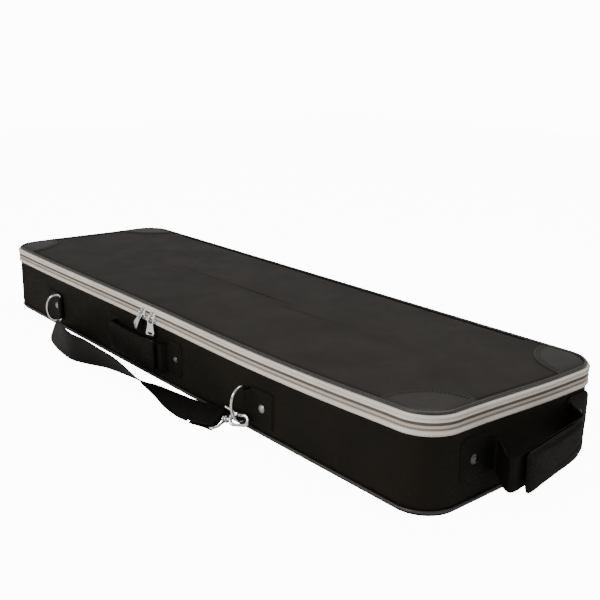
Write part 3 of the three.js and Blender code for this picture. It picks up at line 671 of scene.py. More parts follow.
def lathe_mesh(profile, place, sides=28):
    """A turned form: profile is (radius, height) from the base to the tip."""
    verts, uvs = [], []
    for radius, height in profile:
        for k in range(sides):
            angle = 2 * math.pi * k / sides
            verts.append(place(radius * math.cos(angle), radius * math.sin(angle), height))
            uvs.append((radius * math.cos(angle), radius * math.sin(angle)))
    faces = grid_faces(len(profile), sides, close_columns=True)
    faces.append(tuple(range(sides)))
    faces.append(tuple(range((len(profile) - 1) * sides, len(profile) * sides)))
    return verts, faces, uvs


def cut_plate(name, loops, thickness, edge, matrix):
    """A flat plate with holes and rounded edges. loops are 2-D outlines in mm; matrix places its XY plane."""
    curve = bpy.data.curves.new(name, "CURVE")
    curve.dimensions = "2D"
    curve.fill_mode = "BOTH"
    curve.extrude = thickness / 2 - edge
    curve.bevel_depth = edge
    curve.bevel_resolution = 3
    curve.offset = -edge
    for loop in loops:
        spline = curve.splines.new("POLY")
        spline.points.add(len(loop) - 1)
        for point, (x, y) in zip(spline.points, loop):
            point.co = (x, y, 0, 1)
        spline.use_cyclic_u = True
    flat = bpy.data.objects.new(name + "_curve", curve)
    bpy.context.scene.collection.objects.link(flat)
    depsgraph = bpy.context.evaluated_depsgraph_get()
    mesh = bpy.data.meshes.new_from_object(flat.evaluated_get(depsgraph))
    bpy.data.objects.remove(flat)
    bpy.data.curves.remove(curve)
    work = bmesh.new()
    work.from_mesh(mesh)
    bmesh.ops.remove_doubles(work, verts=work.verts, dist=0.004)
    verts = [tuple(matrix @ v.co) for v in work.verts]
    faces = [tuple(v.index for v in f.verts) for f in work.faces]
    uvs = [(v.co.x, v.co.y) for v in work.verts]
    work.free()
    bpy.data.meshes.remove(mesh)
    return verts, faces, uvs


# ---- the case's plan -----------------------------------------------------------------------------
def plan(inset=0.0, back_gap=None, step=14.0, per_corner=16):
    """Points round the case, from the back past the right end: (x, y, outward x, outward y, run)."""
    hx = LENGTH / 2 - inset
    hy = WIDTH / 2 - inset
    r = max(CORNER - inset, 2.0)
    start = back_gap or 0.0
    points = []

    def line(a, b, normal, length):
        count = max(2, round(length / step))
        for k in range(count):
            t = k / count
            points.append((a[0] + (b[0] - a[0]) * t, a[1] + (b[1] - a[1]) * t, normal[0], normal[1]))

    def corner(cx, cy, first):
        for k in range(per_corner):
            angle = first - (math.pi / 2) * k / per_corner
            points.append((cx + r * math.cos(angle), cy + r * math.sin(angle),
                           math.cos(angle), math.sin(angle)))

    half = LENGTH / 2 - CORNER
    side = WIDTH - 2 * CORNER
    line((start, hy), (hx - r, hy), (0, 1), half - start)
    corner(hx - r, hy - r, math.pi / 2)
    line((hx, hy - r), (hx, -hy + r), (1, 0), side)
    corner(hx - r, -hy + r, 0.0)
    line((hx - r, -hy), (-hx + r, -hy), (0, -1), 2 * half)
    corner(-hx + r, -hy + r, -math.pi / 2)
    line((-hx, -hy + r), (-hx, hy - r), (-1, 0), side)
    corner(-hx + r, hy - r, math.pi)
    line((-hx + r, hy), (-start, hy), (0, 1), half - start)
    if back_gap is not None:
        points.append((-start, hy, 0, 1))
    points = np.array(points)
    return np.column_stack([points, run_length(points[:, :2])])


def outline_from_plan(step):
    """For pillow_mesh: the case's plan at an inset, which stops short of the middle line."""
    return lambda inset: [row[:2] for row in plan(min(inset, CENTRE_LIMIT), step=step)]


def around(name, profile, back_gap=None, relief=None, **density):
    """A band round the case from a closed profile of (outward offset, z, share of the relief)."""
    points = plan(back_gap=back_gap, **density)
    up = run_length([row[:2] for row in profile])
    verts, uvs = [], []
    for (offset, z, share), v in zip(profile, up):
        for x, y, nx, ny, u in points:
            out = offset + (relief(x, y, u, z) * share if relief and share else 0.0)
            verts.append((x + nx * out, y + ny * out, z))
            uvs.append((u, v))
    count = len(points)
    faces = grid_faces(len(profile), count, close_rows=True, close_columns=back_gap is None)
    if back_gap is not None:
        faces.append(tuple(r * count for r in range(len(profile))))
        faces.append(tuple(r * count + count - 1 for r in range(len(profile))))
    return make_mesh(name, verts, faces, uvs)


def swell(*terms):
    """A smooth unevenness: each term is (height, wavelength along, wavelength up, phase)."""
    def height(x, y, u, z):
        return sum(a * math.sin(2 * math.pi * u / lu + p) * math.cos(2 * math.pi * z / lz + 2 * p)
                   for a, lu, lz, p in terms)
    return height


def around_path(offset, z):
    """A path along the zip band for stitching: points and outward normals."""
    rows = plan(back_gap=BAND_GAP, step=THREAD_STEP)
    points = [(x + nx * offset, y + ny * offset, z) for x, y, nx, ny, _ in rows]
    normals = [(nx, ny, 0) for _, _, nx, ny, _ in rows]
    return points, normals


# ---- tray ----------------------------------------------------------------------------------------
SIDE_SWELL = swell((0.28, 310, 260, 0.4), (0.18, 143, 190, 1.7), (0.12, 67, 90, 2.9))
BAND_SWELL = swell((0.12, 170, 90, 0.6), (0.08, 61, 70, 2.0))
BAND_STEP = 9.0
THREAD_STEP = 6.0


def add_tray():
    low, high = COVER_LOW[2], COVER_HIGH[2]
    span = high - low
    profile = [(-2.0, low + 0.4, 0), (-0.9, low, 0), (0.15, low + 0.5, 0.3)]
    for k in range(1, 14):
        t = k / 14
        belly = 0.9 * math.sin(math.pi * t) ** 0.7 + 0.9 * math.exp(-((t - 0.1) / 0.09) ** 2)
        profile.append((belly, low + span * t, 1.0))
    profile += [(0.1, high - 0.4, 0.3), (-0.9, high, 0), (-2.0, high - 0.3, 0)]
    cover = around("tray_cover", profile, relief=SIDE_SWELL, step=BAND_STEP)
    dress(cover, "case_base", "body_fabric", NYLON, "base_cover")

    low, high = node_mm("bottom_piping")
    middle = (low[2] + high[2]) / 2
    path = [(x + nx * 0.4, y + ny * 0.4, middle) for x, y, nx, ny, _ in plan(step=12.0)]
    dress(tube("bottom_welt", path, 1.5, closed=True), "case_base", "piping", PIPING, "bottom_piping")

    low, high = node_mm("bottom_cover")
    inset = LENGTH / 2 - high[0]
    rows = [(inset, high[2] - 0.6), (inset, low[2] + 0.5),
            (inset + 0.5, low[2] + 0.05), (inset + 1.4, low[2])]
    rows += [(inset + d, low[2]) for d in (6, 30, 70, 112)]
    parts = pillow_mesh(outline_from_plan(14.0), rows, as_placed, depth=high[2])
    dress(make_mesh("bottom_panel", *parts), "case_base", "body_fabric", NYLON, "bottom_cover")
    seam = [(row[0], row[1], low[2] + 0.45) for row in plan(9.0, step=THREAD_STEP)]
    seam.append(seam[0])
    stitches("bottom_panel_thread", [facing(seam, (0, 0, -1))], "case_base", "body_fabric")


# ---- zip band ------------------------------------------------------------------------------------
def add_tape(side, body, profile, thread_rows):
    piece = around(f"zip_tape_{side}", profile, back_gap=BAND_GAP, relief=BAND_SWELL, step=BAND_STEP)
    dress(piece, body, "zip_tape", TAPE, f"{side}_zip_tape")
    rows = [around_path(offset, z) for offset, z in thread_rows]
    stitches(f"zip_tape_{side}_thread", rows, body, "zip_tape", PALE_THREAD, radius=0.2, lift=0.05)


def add_band():
    """Two rounded tapes, the upper one with a sewn channel, and the coil between two sunken edge tapes
    coloured with painted shade.
    """
    low, high = (node_mm("lower_zip_tape")[i][2] for i in (0, 1))
    add_tape("lower", "case_base", [
        (-3, low + 0.2, 0), (0.6, low, 0), (1.6, low + 0.15, 0), (2.1, low + 0.7, 1), (2.35, low + 1.8, 1),
        (2.35, high - 1.7, 1), (2.1, high - 1.0, 1), (1.3, high - 0.4, 0), (-3, high - 0.5, 0),
    ], [(2.3, low + 1.2)])

    low, high = (node_mm("upper_zip_tape")[i][2] for i in (0, 1))
    high += 0.3
    channel = high - 3.1
    add_tape("upper", "lid", [
        (-3, low + 1.2, 0), (1.1, low + 1.1, 0), (1.9, low + 1.3, 1), (2.4, low + 1.8, 1),
        (2.45, channel - 1.0, 1), (2.05, channel - 0.4, 1), (1.75, channel + 0.2, 1),
        (2.15, channel + 0.7, 1), (2.7, channel + 1.3, 1), (2.7, high - 1.3, 1), (2.2, high - 0.5, 1),
        (1.1, high, 0), (-3, high - 0.4, 0),
    ], [(2.5, high - 1.5), (1.8, channel + 0.2)])

    # The last column is each sunken strip's painted-shade material, darker for the upper one.
    halves = (("lower", "case_base", -1, 1.1, 2.2, SOFT_GROOVE_PAINTED_SHADE), ("upper", "lid", 1, 0.7, 3.0, GROOVE_PAINTED_SHADE))
    for side, body, way, depth, reach, material in halves:
        seam = PARTING + way * 0.04
        profile = [(-3, seam, 0), (1.75, seam, 0), (2.15, seam + way * 0.15, 1), (2.1, seam + way * 0.5, 1),
                   (1.7, seam + way * 0.85, 1), (depth, seam + way, 0), (-3, seam + way, 0)]
        coil = around(f"zip_coil_{side}", profile, back_gap=BAND_GAP, step=0.8, per_corner=70,
                      relief=lambda x, y, u, z: 0.18 * math.sin(2 * math.pi * u / 3.2))
        dress(coil, body, "zip_coil", COIL, f"{side}_zip_coil")
        start = seam + way * 1.03
        profile = [(-3, start, 0), (depth, start, 0), (depth - 0.2, start + way * reach / 2, 0),
                   (depth, start + way * reach, 0), (-3, start + way * reach, 0)]
        groove = around(f"zip_inner_tape_{side}", profile, back_gap=BAND_GAP, step=14.0)
        dress(groove, body, "zip_tape", material)


def add_hinge_strip():
    low, high = node_mm("hinge_strip")
    heights = [low[2], low[2] + 0.3, low[2] + 0.9]
    heights += [low[2] + 0.9 + (high[2] - low[2] - 1.8) * k / 30 for k in range(1, 30)]
    heights += [high[2] - 0.9, high[2] - 0.3, high[2]]
    columns = edged(64, high[0] - low[0], 0.6)
    points, normals, uvs = [], [], []
    for z in heights:
        fold = 0.5 * math.exp(-((z - PARTING) / 1.6) ** 2)
        points.append([(high[0] - (high[0] - low[0]) * f, low[1] - 0.15 - fold, z) for f in columns])
        normals.append([(0, 1, 0)] * len(columns))
        uvs.append([((high[0] - low[0]) * f, z) for f in columns])
    strip = make_mesh("back_hinge_strip", *slab_mesh(points, normals, 1.35, uvs))
    strip.data.materials.append(NYLON)
    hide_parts("hinge_strip")
    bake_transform(strip)
    face = high[1] + 0.02
    for name, z, body in (("lower", low[2] + 3.0, "case_base"), ("upper", high[2] - 2.2, "lid")):
        paths = []
        for gap in (0.0, 2.6 if name == "lower" else -2.6):
            row = [(high[0] - 4 - (high[0] - low[0] - 8) * k / 60, face, z + gap) for k in range(61)]
            paths.append(facing(row, (0, 1, 0)))
        stitches(f"back_hinge_thread_{name}", paths, body, "body_fabric")


# ---- lid -----------------------------------------------------------------------------------------
PANEL_INSET = LENGTH / 2 - node_mm("lid_cover")[1][0]
PANEL_TOP = node_mm("lid_cover")[1][2]
CORNER_PATCH_REACH = 58.0
UP = (0, 0, 1)


def panel_height(x, y):
    """The padded lid's top: down to its seam at the rim, then a very low dome with slow unevenness."""
    gap = min(LENGTH / 2 - PANEL_INSET - abs(x), WIDTH / 2 - PANEL_INSET - abs(y))
    corner = CORNER - PANEL_INSET
    dx = abs(x) - (LENGTH / 2 - CORNER)
    dy = abs(y) - (WIDTH / 2 - CORNER)
    if dx > 0 and dy > 0:
        gap = corner - math.hypot(dx, dy)
    gap = max(gap, 0.0)
    shoulder = 1 - math.exp(-gap / 3.2)
    dome = 1.3 * math.sin(min(gap / 115.0, 1.0) * math.pi / 2)
    wave = 0.16 * math.sin(x / 61 + 0.7) * math.cos(y / 37 + 0.4) + 0.1 * math.sin(x / 23 + y / 29)
    return PANEL_TOP - 1.5 + 2.0 * shoulder + dome + wave * min(gap / 20, 1.0)


def add_lid():
    steps_in = (0.0, 0.4, 1.0, 1.8, 3.0, 4.6, 7, 11, 16, 23, 32, 43, 56, 70, 85, 99, 111)
    rows = [(PANEL_INSET, PANEL_TOP - 2.4)] + [(PANEL_INSET + d, None) for d in steps_in]

    def place(x, y, h):
        return (x, y, panel_height(x, y) if h is None else h)

    parts = pillow_mesh(outline_from_plan(12.0), rows, place, depth=node_mm("lid_cover")[0][2])
    dress(make_mesh("lid_panel", *parts), "lid", "panel_fabric", PANEL, "lid_cover")

    low, high = node_mm("lid_piping")
    middle = (low[2] + high[2]) / 2
    path = [(x - nx * 1.5, y - ny * 1.5, middle) for x, y, nx, ny, _ in plan(step=12.0)]
    dress(tube("lid_welt", path, 1.55, closed=True), "lid", "piping", PIPING, "lid_piping")
    rows = plan(PANEL_INSET + 4.2, step=THREAD_STEP)
    seam = [(x, y, panel_height(x, y) + 0.02) for x, y, _, _, _ in rows]
    seam.append(seam[0])
    stitches("lid_panel_thread", [facing(seam, UP)], "lid", "panel_fabric", radius=0.24, lift=0.06)

    for end, sx in (("left", -1), ("right", 1)):
        for side, sy in (("front", -1), ("back", 1)):
            add_corner_patch(end, side, sx, sy)

    low, high = node_mm("lid_lining")
    inset = LENGTH / 2 - high[0]
    rows = [(inset, high[2] - 0.5), (inset, low[2] + 1.0), (inset + 0.5, low[2] + 0.3), (inset + 1.6, low[2])]
    rows += [(inset + d, low[2] - 0.5) for d in (5, 16, 36, 62, 88, 104)]
    parts = pillow_mesh(outline_from_plan(14.0), rows, as_placed, depth=high[2])
    dress(make_mesh("lid_plush", *parts), "lid", "lining", LINING, "lid_lining")


def add_corner_patch(end, side, sx, sy):
    """A quarter disc of vinyl on the panel's corner, with two sewn rows along its round inner edge."""
    corner_x = sx * (LENGTH / 2 - PANEL_INSET)
    corner_y = sy * (WIDTH / 2 - PANEL_INSET)
    radius = CORNER - PANEL_INSET
    reach = CORNER_PATCH_REACH

    def spot(angle, r, lift=0.0):
        x = corner_x - sx * r * math.cos(angle)
        y = corner_y - sy * r * math.sin(angle)
        return (x, y, panel_height(x, y) + lift)

    def rim(angle):
        total = math.cos(angle) + math.sin(angle)
        return radius * (total - math.sqrt(max(total * total - 1, 0.0)))

    angles = [math.pi / 2 * f for f in edged(36, 90, 0.7)]
    fractions = edged(14, reach - radius * 0.5, 0.7)
    points = [[spot(a, rim(a) + 0.3 + (reach - rim(a) - 0.3) * f) for f in fractions] for a in angles]
    uvs = [[(p[0], p[1]) for p in row] for row in points]
    normals = grid_normals(points)
    if normals[5][5][2] < 0:
        normals = -normals
    name = f"corner_vinyl_{side}_{end}"
    obj = make_mesh(name, *slab_mesh(points, normals, 0.95, uvs))
    dress(obj, "lid", "vinyl", PATCH_VINYL, f"corner_patch_{side}_{end}")
    paths = []
    for r in (reach - 2.6, reach - 5.4):
        paths.append(facing([spot(math.radians(a), r, 0.93) for a in np.linspace(3, 87, 50)], UP))
    stitches(f"corner_thread_{side}_{end}", paths, "lid", "vinyl", radius=0.26)


# ---- handles and rivets --------------------------------------------------------------------------
PATCH_CORNER = 7.5
PATCH_HEIGHT = 40.0
HANDLE_STRAP_WIDTH = 31.0
HANDLE_STRAP_THICKNESS = 2.2
HANDLE_RIVET_HEIGHT = 2.9
GRIP_THICKNESS = 6.0


def wall_frame(x, y, z, turn):
    """A local frame on a wall: local x along it, local y up, local height outwards."""
    along = np.array((math.cos(turn), math.sin(turn), 0.0))
    out = np.array((math.sin(turn), -math.cos(turn), 0.0))
    origin = np.array((x, y, z), float)
    return lambda a, b, h: tuple(origin + along * a + np.array((0, 0, 1.0)) * b + out * h)


def add_rivet(name, node, place, height, material, size=4.2):
    """A domed rivet head with a thin flange on a patch or tab of the given height."""
    profile = [(size * 1.12, height - 0.5), (size * 1.15, height), (size * 1.05, height + 0.35)]
    profile += [(size, height + 0.4)]
    profile += [(size * math.cos(a), height + 0.4 + 1.5 * math.sin(a)) for a in np.linspace(0.15, 1.35, 7)]
    profile += [(0.1, height + 1.92)]
    dress(make_mesh(name, *lathe_mesh(profile, place)), "case_base", "rivet", material, node)


def add_patch(name, node, place, width, height):
    def outline(inset):
        return rounded_rect(width, height, PATCH_CORNER, inset)

    base = 0.3
    rows = [(0.0, base + 0.2), (0.0, base + 0.8), (0.3, base + 1.25), (1.0, base + 1.5), (2.6, base + 1.6),
            (4.5, base + 2.1), (7, base + 2.5), (13, base + 2.6)]
    obj = make_mesh(name, *pillow_mesh(outline, rows, place, depth=base))
    dress(obj, "case_base", "vinyl", VINYL, node)
    ring = rounded_rect(width, height, PATCH_CORNER, 2.7)
    points = [place(x, y, base + 1.6) for x, y in ring + ring[:1]]
    out = unit(np.array(place(0, 0, 1)) - np.array(place(0, 0, 0)))
    stitches(name + "_thread", [facing(points, out)], "case_base", "vinyl", radius=0.22)


def finish_strap(strap, node, width_mm, path, bodies, start, end, **cloth):
    """Webbing: its look and the node it stands for; its size and its bodies are not used."""
    strap.data.materials.append(WEBBING)
    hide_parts(node)
    length_m(path)
    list(bodies)
    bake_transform(strap)
    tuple(start)
    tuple(end)


def add_handle(name, x, y, z, turn, spacing, patch, knots, sag, sides, start, end):
    """Patches, rivets and the strap out of the patches. sag(a, h) moves the hanging part up or down."""
    place = wall_frame(x, y, z, turn)
    half = spacing / 2
    patch_length, patch_shift, patch_rise = patch
    for side, sign in ((sides[0], -1), (sides[1], 1)):
        centre = sign * (half - patch_shift)

        def spot(a, b, h, centre=centre):
            return place(centre + a, b + patch_rise, h)

        add_patch(f"{name}_patch_{side}_vinyl", f"{name}_patch_{side}", spot, patch_length, PATCH_HEIGHT)

        def head(a, b, h, sign=sign):
            return place(sign * half + a, b + patch_rise, h)

        rivet = f"{name}_rivet_{side}"
        add_rivet(rivet + "_head", rivet, head, HANDLE_RIVET_HEIGHT, DARK_METAL)

    rows = smooth_path([(a, h, 0) for a, h in knots], 6)
    centres = [place(a, sag(a, h), h) for a, h, _ in rows]
    across = [np.array((0, 0, HANDLE_STRAP_WIDTH))] * len(centres)
    parts = ribbon_mesh(centres, across, HANDLE_STRAP_THICKNESS, columns=9, flip=True)
    finish_strap(make_mesh(f"{name}_webbing", *parts), f"{name}_strap", HANDLE_STRAP_WIDTH, centres,
                 ("case_base", name), start, end, held="stretched",
                 rests_on=[f"{name}_patch_{side}_vinyl" for side in sides])
    return place


def add_grip(name, place, length, height, back):
    """A stuffed grip: blown up from a slim block with cloth pressure."""
    def outline(inset):
        return rounded_rect(length - 1.0, height, 5.0, inset, per_corner=8, per_side=14)

    middle = back + GRIP_THICKNESS / 2
    half = GRIP_THICKNESS / 2 - 0.7
    rows = [(0.0, middle - half * 0.55), (0.0, middle + half * 0.55), (0.8, middle + half * 0.95)]
    rows += [(d, middle + half) for d in (2.5, 6.0, 11.0, 15.0)]
    shell = make_mesh(name, *pillow_mesh(outline, rows, place, depth=middle - half))
    remesh = shell.modifiers.new("even", "REMESH")
    remesh.mode = "VOXEL"
    remesh.voxel_size = 1.7 * MM
    bake_modifiers(shell)
    puff(shell, 1.3)
    return shell


def puff(obj, cap_mm, pressure=4.0):
    """Blow a piece up a little with Blender's cloth, and hold each point within cap_mm of where it began."""
    scene = bpy.context.scene
    count = len(obj.data.vertices)
    before = np.zeros(count * 3)
    obj.data.vertices.foreach_get("co", before)
    cloth = obj.modifiers.new("cloth", "CLOTH")
    settings = cloth.settings
    settings.use_pressure = True
    settings.uniform_pressure_force = pressure
    settings.quality = 5
    settings.mass = 0.2
    settings.effector_weights.gravity = 0
    cloth.point_cache.frame_start = 1
    cloth.point_cache.frame_end = 20
    for step in range(1, 21):
        scene.frame_set(step)
    bake_modifiers(obj)
    scene.frame_set(1)
    after = np.zeros(count * 3)
    obj.data.vertices.foreach_get("co", after)
    move = (after - before).reshape(-1, 3)
    size = np.linalg.norm(move, axis=1, keepdims=True)
    move *= np.minimum(1.0, cap_mm * MM / np.maximum(size, 1e-9))
    obj.data.vertices.foreach_set("co", (before.reshape(-1, 3) + move).ravel())
    obj.data.update()


def finish_grip(shell, name, node, body, place, length, height, front, hang, seam_rise):
    """Seams, end tucks and thread on a grip, after its shape has been blown up.

    hang(a, b) gives how far a point moves outwards and up when the grip hangs askew."""
    origin = np.array(place(0, 0, 0))
    along = unit(np.array(place(1, 0, 0)) - origin)
    out = unit(np.array(place(0, 0, 1)) - origin)

    def seam_b(a):
        t = a / (length / 2)
        return seam_rise[0] + seam_rise[1] * t + seam_rise[2] * t ** 2

    count = len(shell.data.vertices)
    co = np.zeros(count * 3)
    shell.data.vertices.foreach_get("co", co)
    co = co.reshape(-1, 3) / MM
    local = co - origin
    a = local @ along
    b = local[:, 2]
    h = local @ out
    middle = h.mean()
    groove = np.exp(-((b - seam_b(a)) / 1.1) ** 2) * (h > middle)
    tuck = 0.5 * np.exp(-((np.abs(a) - (length / 2 - 5.5)) / 1.0) ** 2) * (h > middle)
    crease = 0.25 * np.sin(a / 5.3 + 1.3) * np.sin(b / 6.1 + a / 17) * (h > middle)
    more_out, more_up = hang(a, b)
    co = co + np.outer(-0.75 * groove - tuck + crease + more_out, out)
    co[:, 2] += more_up
    shell.data.vertices.foreach_set("co", (co * MM).ravel())
    shell.data.update()
    smooth = shell.modifiers.new("soft", "SUBSURF")
    smooth.levels = 1
    smooth.render_levels = 1
    bake_modifiers(shell)
    shade(shell, 80)
    dress(shell, body, "vinyl", VINYL, node)

    def hung(a, b, h):
        more_out, more_up = hang(a, b)
        return place(a, b + more_up, h + more_out)

    rows = []
    for gap in (-1.7, 1.7):
        line = [hung(s, seam_b(s) + gap, front) for s in np.linspace(-length / 2 + 6, length / 2 - 6, 40)]
        rows.append(facing(line, out))
    for sign in (-1, 1):
        line = [hung(sign * (length / 2 - 4.0), s, front - 0.25)
                for s in np.linspace(-height / 2 + 4, height / 2 - 4, 16)]
        rows.append(facing(line, out))
    stitches(name + "_thread", rows, body, "vinyl", radius=0.26, lift=0.02)


def add_handles():
    front_low, front_high = node_mm("front_handle_grip")
    end_low, end_high = node_mm("end_handle_grip")
    front_x = (front_low[0] + front_high[0]) / 2
    end_y = (end_low[1] + end_high[1]) / 2
    z = (front_low[2] + front_high[2]) / 2
    knots = [(80, 1.25), (70, 1.25), (62, 1.4), (58.5, 2.8), (56.5, 6.5), (54, 10), (49, 11), (30, 11)]
    knots = [(-a, h) for a, h in knots] + list(reversed(knots))
    place = add_handle("front_handle", front_x, FRONT, z, 0.0, 144.0, (44.0, 10.0, 0.0), knots,
                       lambda a, h: 0.0, ("left", "right"),
                       (front_x * MM, -0.1225, z * MM), (front_x * MM, -0.1295, z * MM))
    length = front_high[0] - front_low[0]
    height = front_high[2] - front_low[2]
    back = FRONT - front_high[1]
    grip = add_grip("front_grip_pad", place, length, height, back)
    finish_grip(grip, "front_grip_pad", "front_handle_grip", "front_handle", place, length, height,
                back + GRIP_THICKNESS, lambda a, b: (0.0 * a, 0.0 * a), (0.0, 0.0, 0.0))

    length = end_high[1] - end_low[1]
    height = end_high[2] - end_low[2]
    back = end_low[0] - END

    def askew(a, b):
        """Outwards and up: the near end hangs lower and further out, and the far lower corner is rounded."""
        along = a / (length / 2)
        low = max(-b, 0.0) / (height / 2) if np.isscalar(b) else np.maximum(-b, 0.0) / (height / 2)
        corner = np.clip((along - 0.68) / 0.32, 0.0, 1.0) ** 2
        return 2.6 - 1.6 * along, -1.4 + 3.4 * along + low * (8.0 * corner - 2.1 * (1 - along))

    def strap_sag(a, h):
        share = min(max((h - 2) / 16, 0.0), 1.0)
        return 5.0 * (1 - share) + share * askew(a, 0)[1]

    knots = [(-84, 1.25), (-74, 1.25), (-66, 1.4), (-56, 1.9), (-50, 2.6), (-47.6, 5), (-48.4, 10),
             (-51.6, 17), (-54, 22.6), (-54, 25.2), (-51, 26.4), (-44, 26.6), (-30, 25.8), (0, 24.4),
             (30, 23.2), (44, 23), (51, 21.4), (55.5, 15), (58, 8), (60.5, 2.8), (66, 1.4),
             (74, 1.25), (84, 1.25)]
    place = add_handle("end_handle", END, end_y, z, math.pi / 2, 150.0, (36.0, 2.0, 7.0), knots, strap_sag,
                       ("front", "back"),
                       (0.4065, end_y * MM, z * MM), (0.4245, end_y * MM, z * MM))
    grip = add_grip("end_grip_pad", place, length, height, back)
    finish_grip(grip, "end_grip_pad", "end_handle_grip", "end_handle", place, length, height,
                back + GRIP_THICKNESS, askew, (-7.7, -1.7, 11.3))


# ---- D-rings -------------------------------------------------------------------------------------
RING_NODES = {"left": (-245.0, -1, 14.0, -30.0), "right": (168.0, 1, 23.0, 0.0)}


def add_ring(side):
    x, sign, rivet_offset, turn = RING_NODES[side]
    low, high = node_mm(f"{side}_ring_tab")
    mid_z = (low[2] + high[2]) / 2
    bar_y = FRONT - 0.3 - 3.4
    bow = [(0, 13), (0.6, 16.2), (3, 17.6), (8, 17.3), (13, 14.6), (16.6, 8.6)]
    corners = ([(0, -b) for b in (-7, 0, 7)] + [(d, -b) for d, b in bow] + [(18, 0)]
               + [(d, b) for d, b in reversed(bow)])
    path = smooth_path([(0, -depth, rise) for depth, rise in corners], 6, closed=True)
    angle = math.radians(turn)
    spun = [(x + px * math.cos(angle) - py * math.sin(angle),
             bar_y + px * math.sin(angle) + py * math.cos(angle), mid_z + pz) for px, py, pz in path]
    ring = tube(f"{side}_ring_wire", spun, 1.5, sides=14, closed=True, up=(1, 0, 0))
    dress(ring, f"{side}_ring", "chrome", CHROME, f"{side}_d_ring")

    far = 40.0
    front_layer = [(far, -120.55), (far - 4, -120.75), (26, -120.8), (15, -120.9), (9.5, -121.4),
                   (6, -123.6), (2.6, -125.3), (-0.6, -125.85), (-2.7, -124.6), (-3.0, -122.6),
                   (-1.6, -120.7), (1.4, -119.75), (6, -119.45), (14, -119.45), (30, -119.45)]
    rows = smooth_path([(x + sign * a, y, 0) for a, y in front_layer], 5)
    centres, across = [], []
    for px, py, _ in rows:
        reach = abs(px - x) if (px - x) * sign > 0 else 0.0
        t = min(max((reach - 1.0) / 12.0, 0.0), 1.0)
        share = t * t * (3 - 2 * t)
        centres.append((px, py, mid_z))
        across.append((0, 0, 28.6 + 8.9 * share))
    tab = make_mesh(f"{side}_tab_vinyl", *ribbon_mesh(centres, across, 1.15, columns=11, flip=sign > 0))
    dress(tab, "case_base", "vinyl", VINYL, f"{side}_ring_tab")
    face = -121.5
    near, end, top = 11.5, far - 2.6, 16.4
    loop = [(near, -top), (end, -top), (end, top), (near, top), (near, -top)]
    path = []
    for (a0, b0), (a1, b1) in zip(loop, loop[1:]):
        path += [(x + sign * (a0 + (a1 - a0) * t), face, mid_z + b0 + (b1 - b0) * t)
                 for t in np.linspace(0, 1, 12)]
    stitches(f"{side}_tab_thread", [facing(path, (0, -1, 0))], "case_base", "vinyl", radius=0.3)

    place = wall_frame(x + sign * rivet_offset, FRONT, mid_z, 0.0)
    add_rivet(f"{side}_tab_rivet", f"{side}_ring_rivet", place, 2.5, RIVET_METAL, size=3.8)


# ---- zip sliders ---------------------------------------------------------------------------------
def add_slider(side, x, splay, twist, lean):
    place = wall_frame(x, FRONT, PARTING, 0.0)
    back = 2.3
    outline = [(4.9, 4.6), (3.8, 5.5), (0, 5.8), (-3.8, 5.5), (-4.9, 4.6), (-5.3, 2.3), (-4.8, 0),
               (-5.3, -2.3), (-4.9, -4.6), (-3.8, -5.5), (0, -5.8), (3.8, -5.5), (4.9, -4.6),
               (5.3, -2.3), (4.8, 0), (5.3, 2.3)]
    ring = smooth_path([(a, b, 0) for a, b in outline], 4, closed=True)[:, :2]

    def shrink(inset):
        return [(a * (1 - inset / 5.2), b * (1 - inset / 6.0)) for a, b in ring]

    rows = [(0.0, back + 0.1), (0.0, back + 1.3), (0.25, back + 1.8), (0.8, back + 2.15), (1.8, back + 2.8),
            (3.2, back + 3.2), (4.4, back + 3.3)]
    body = pillow_mesh(shrink, rows, place, depth=back - 1.2)
    arch = [place(0, 4.2 * math.sin(t), back + 2.3 + 3.9 * math.cos(t)) for t in np.linspace(-1.5, 1.5, 17)]
    bridge = tube_mesh(arch, 1.25, sides=10, up=(1, 0, 0))
    dress(merged(f"{side}_slider_cast", body, bridge), f"{side}_slider", "chrome", CHROME,
          f"{side}_zip_slider")

    low, high = node_mm(f"{side}_zip_pull")
    pivot = Vector((x, low[1] / 2 + high[1] / 2, PARTING + 0.2))
    edge = []
    for a, b in smooth_path([(3.8, 0.6, 0), (4.3, -2.5, 0), (3.6, -7, 0), (4.0, -12, 0), (5.1, -17, 0),
                             (4.9, -20.6, 0), (3.2, -22.4, 0), (0, -22.8, 0)], 5)[:, :2]:
        edge.append((a * 1.16, b))
    edge = edge + [(-a, b) for a, b in reversed(edge[:-1])]
    eye = rounded_rect(5.6, 6.0, 1.6, per_corner=6, per_side=3)
    slot = rounded_rect(6.0, 2.2, 1.05, per_corner=8, per_side=3)
    loops = [edge, [(a, b - 3.7) for a, b in eye], [(a, b - 18.6) for a, b in slot]]
    turn = Matrix.Rotation(math.radians(splay), 4, "Y") @ Matrix.Rotation(math.radians(twist), 4, "Z")
    turn = Matrix.Rotation(math.radians(-lean), 4, "X") @ turn
    upright = Matrix.Rotation(math.radians(90), 4, "X")
    parts = cut_plate(f"{side}_pull_plate", loops, 2.0, 0.6, Matrix.Translation(pivot) @ turn @ upright)
    dress(make_mesh(f"{side}_pull_plate", *parts), f"{side}_pull", "chrome", CHROME, f"{side}_zip_pull")


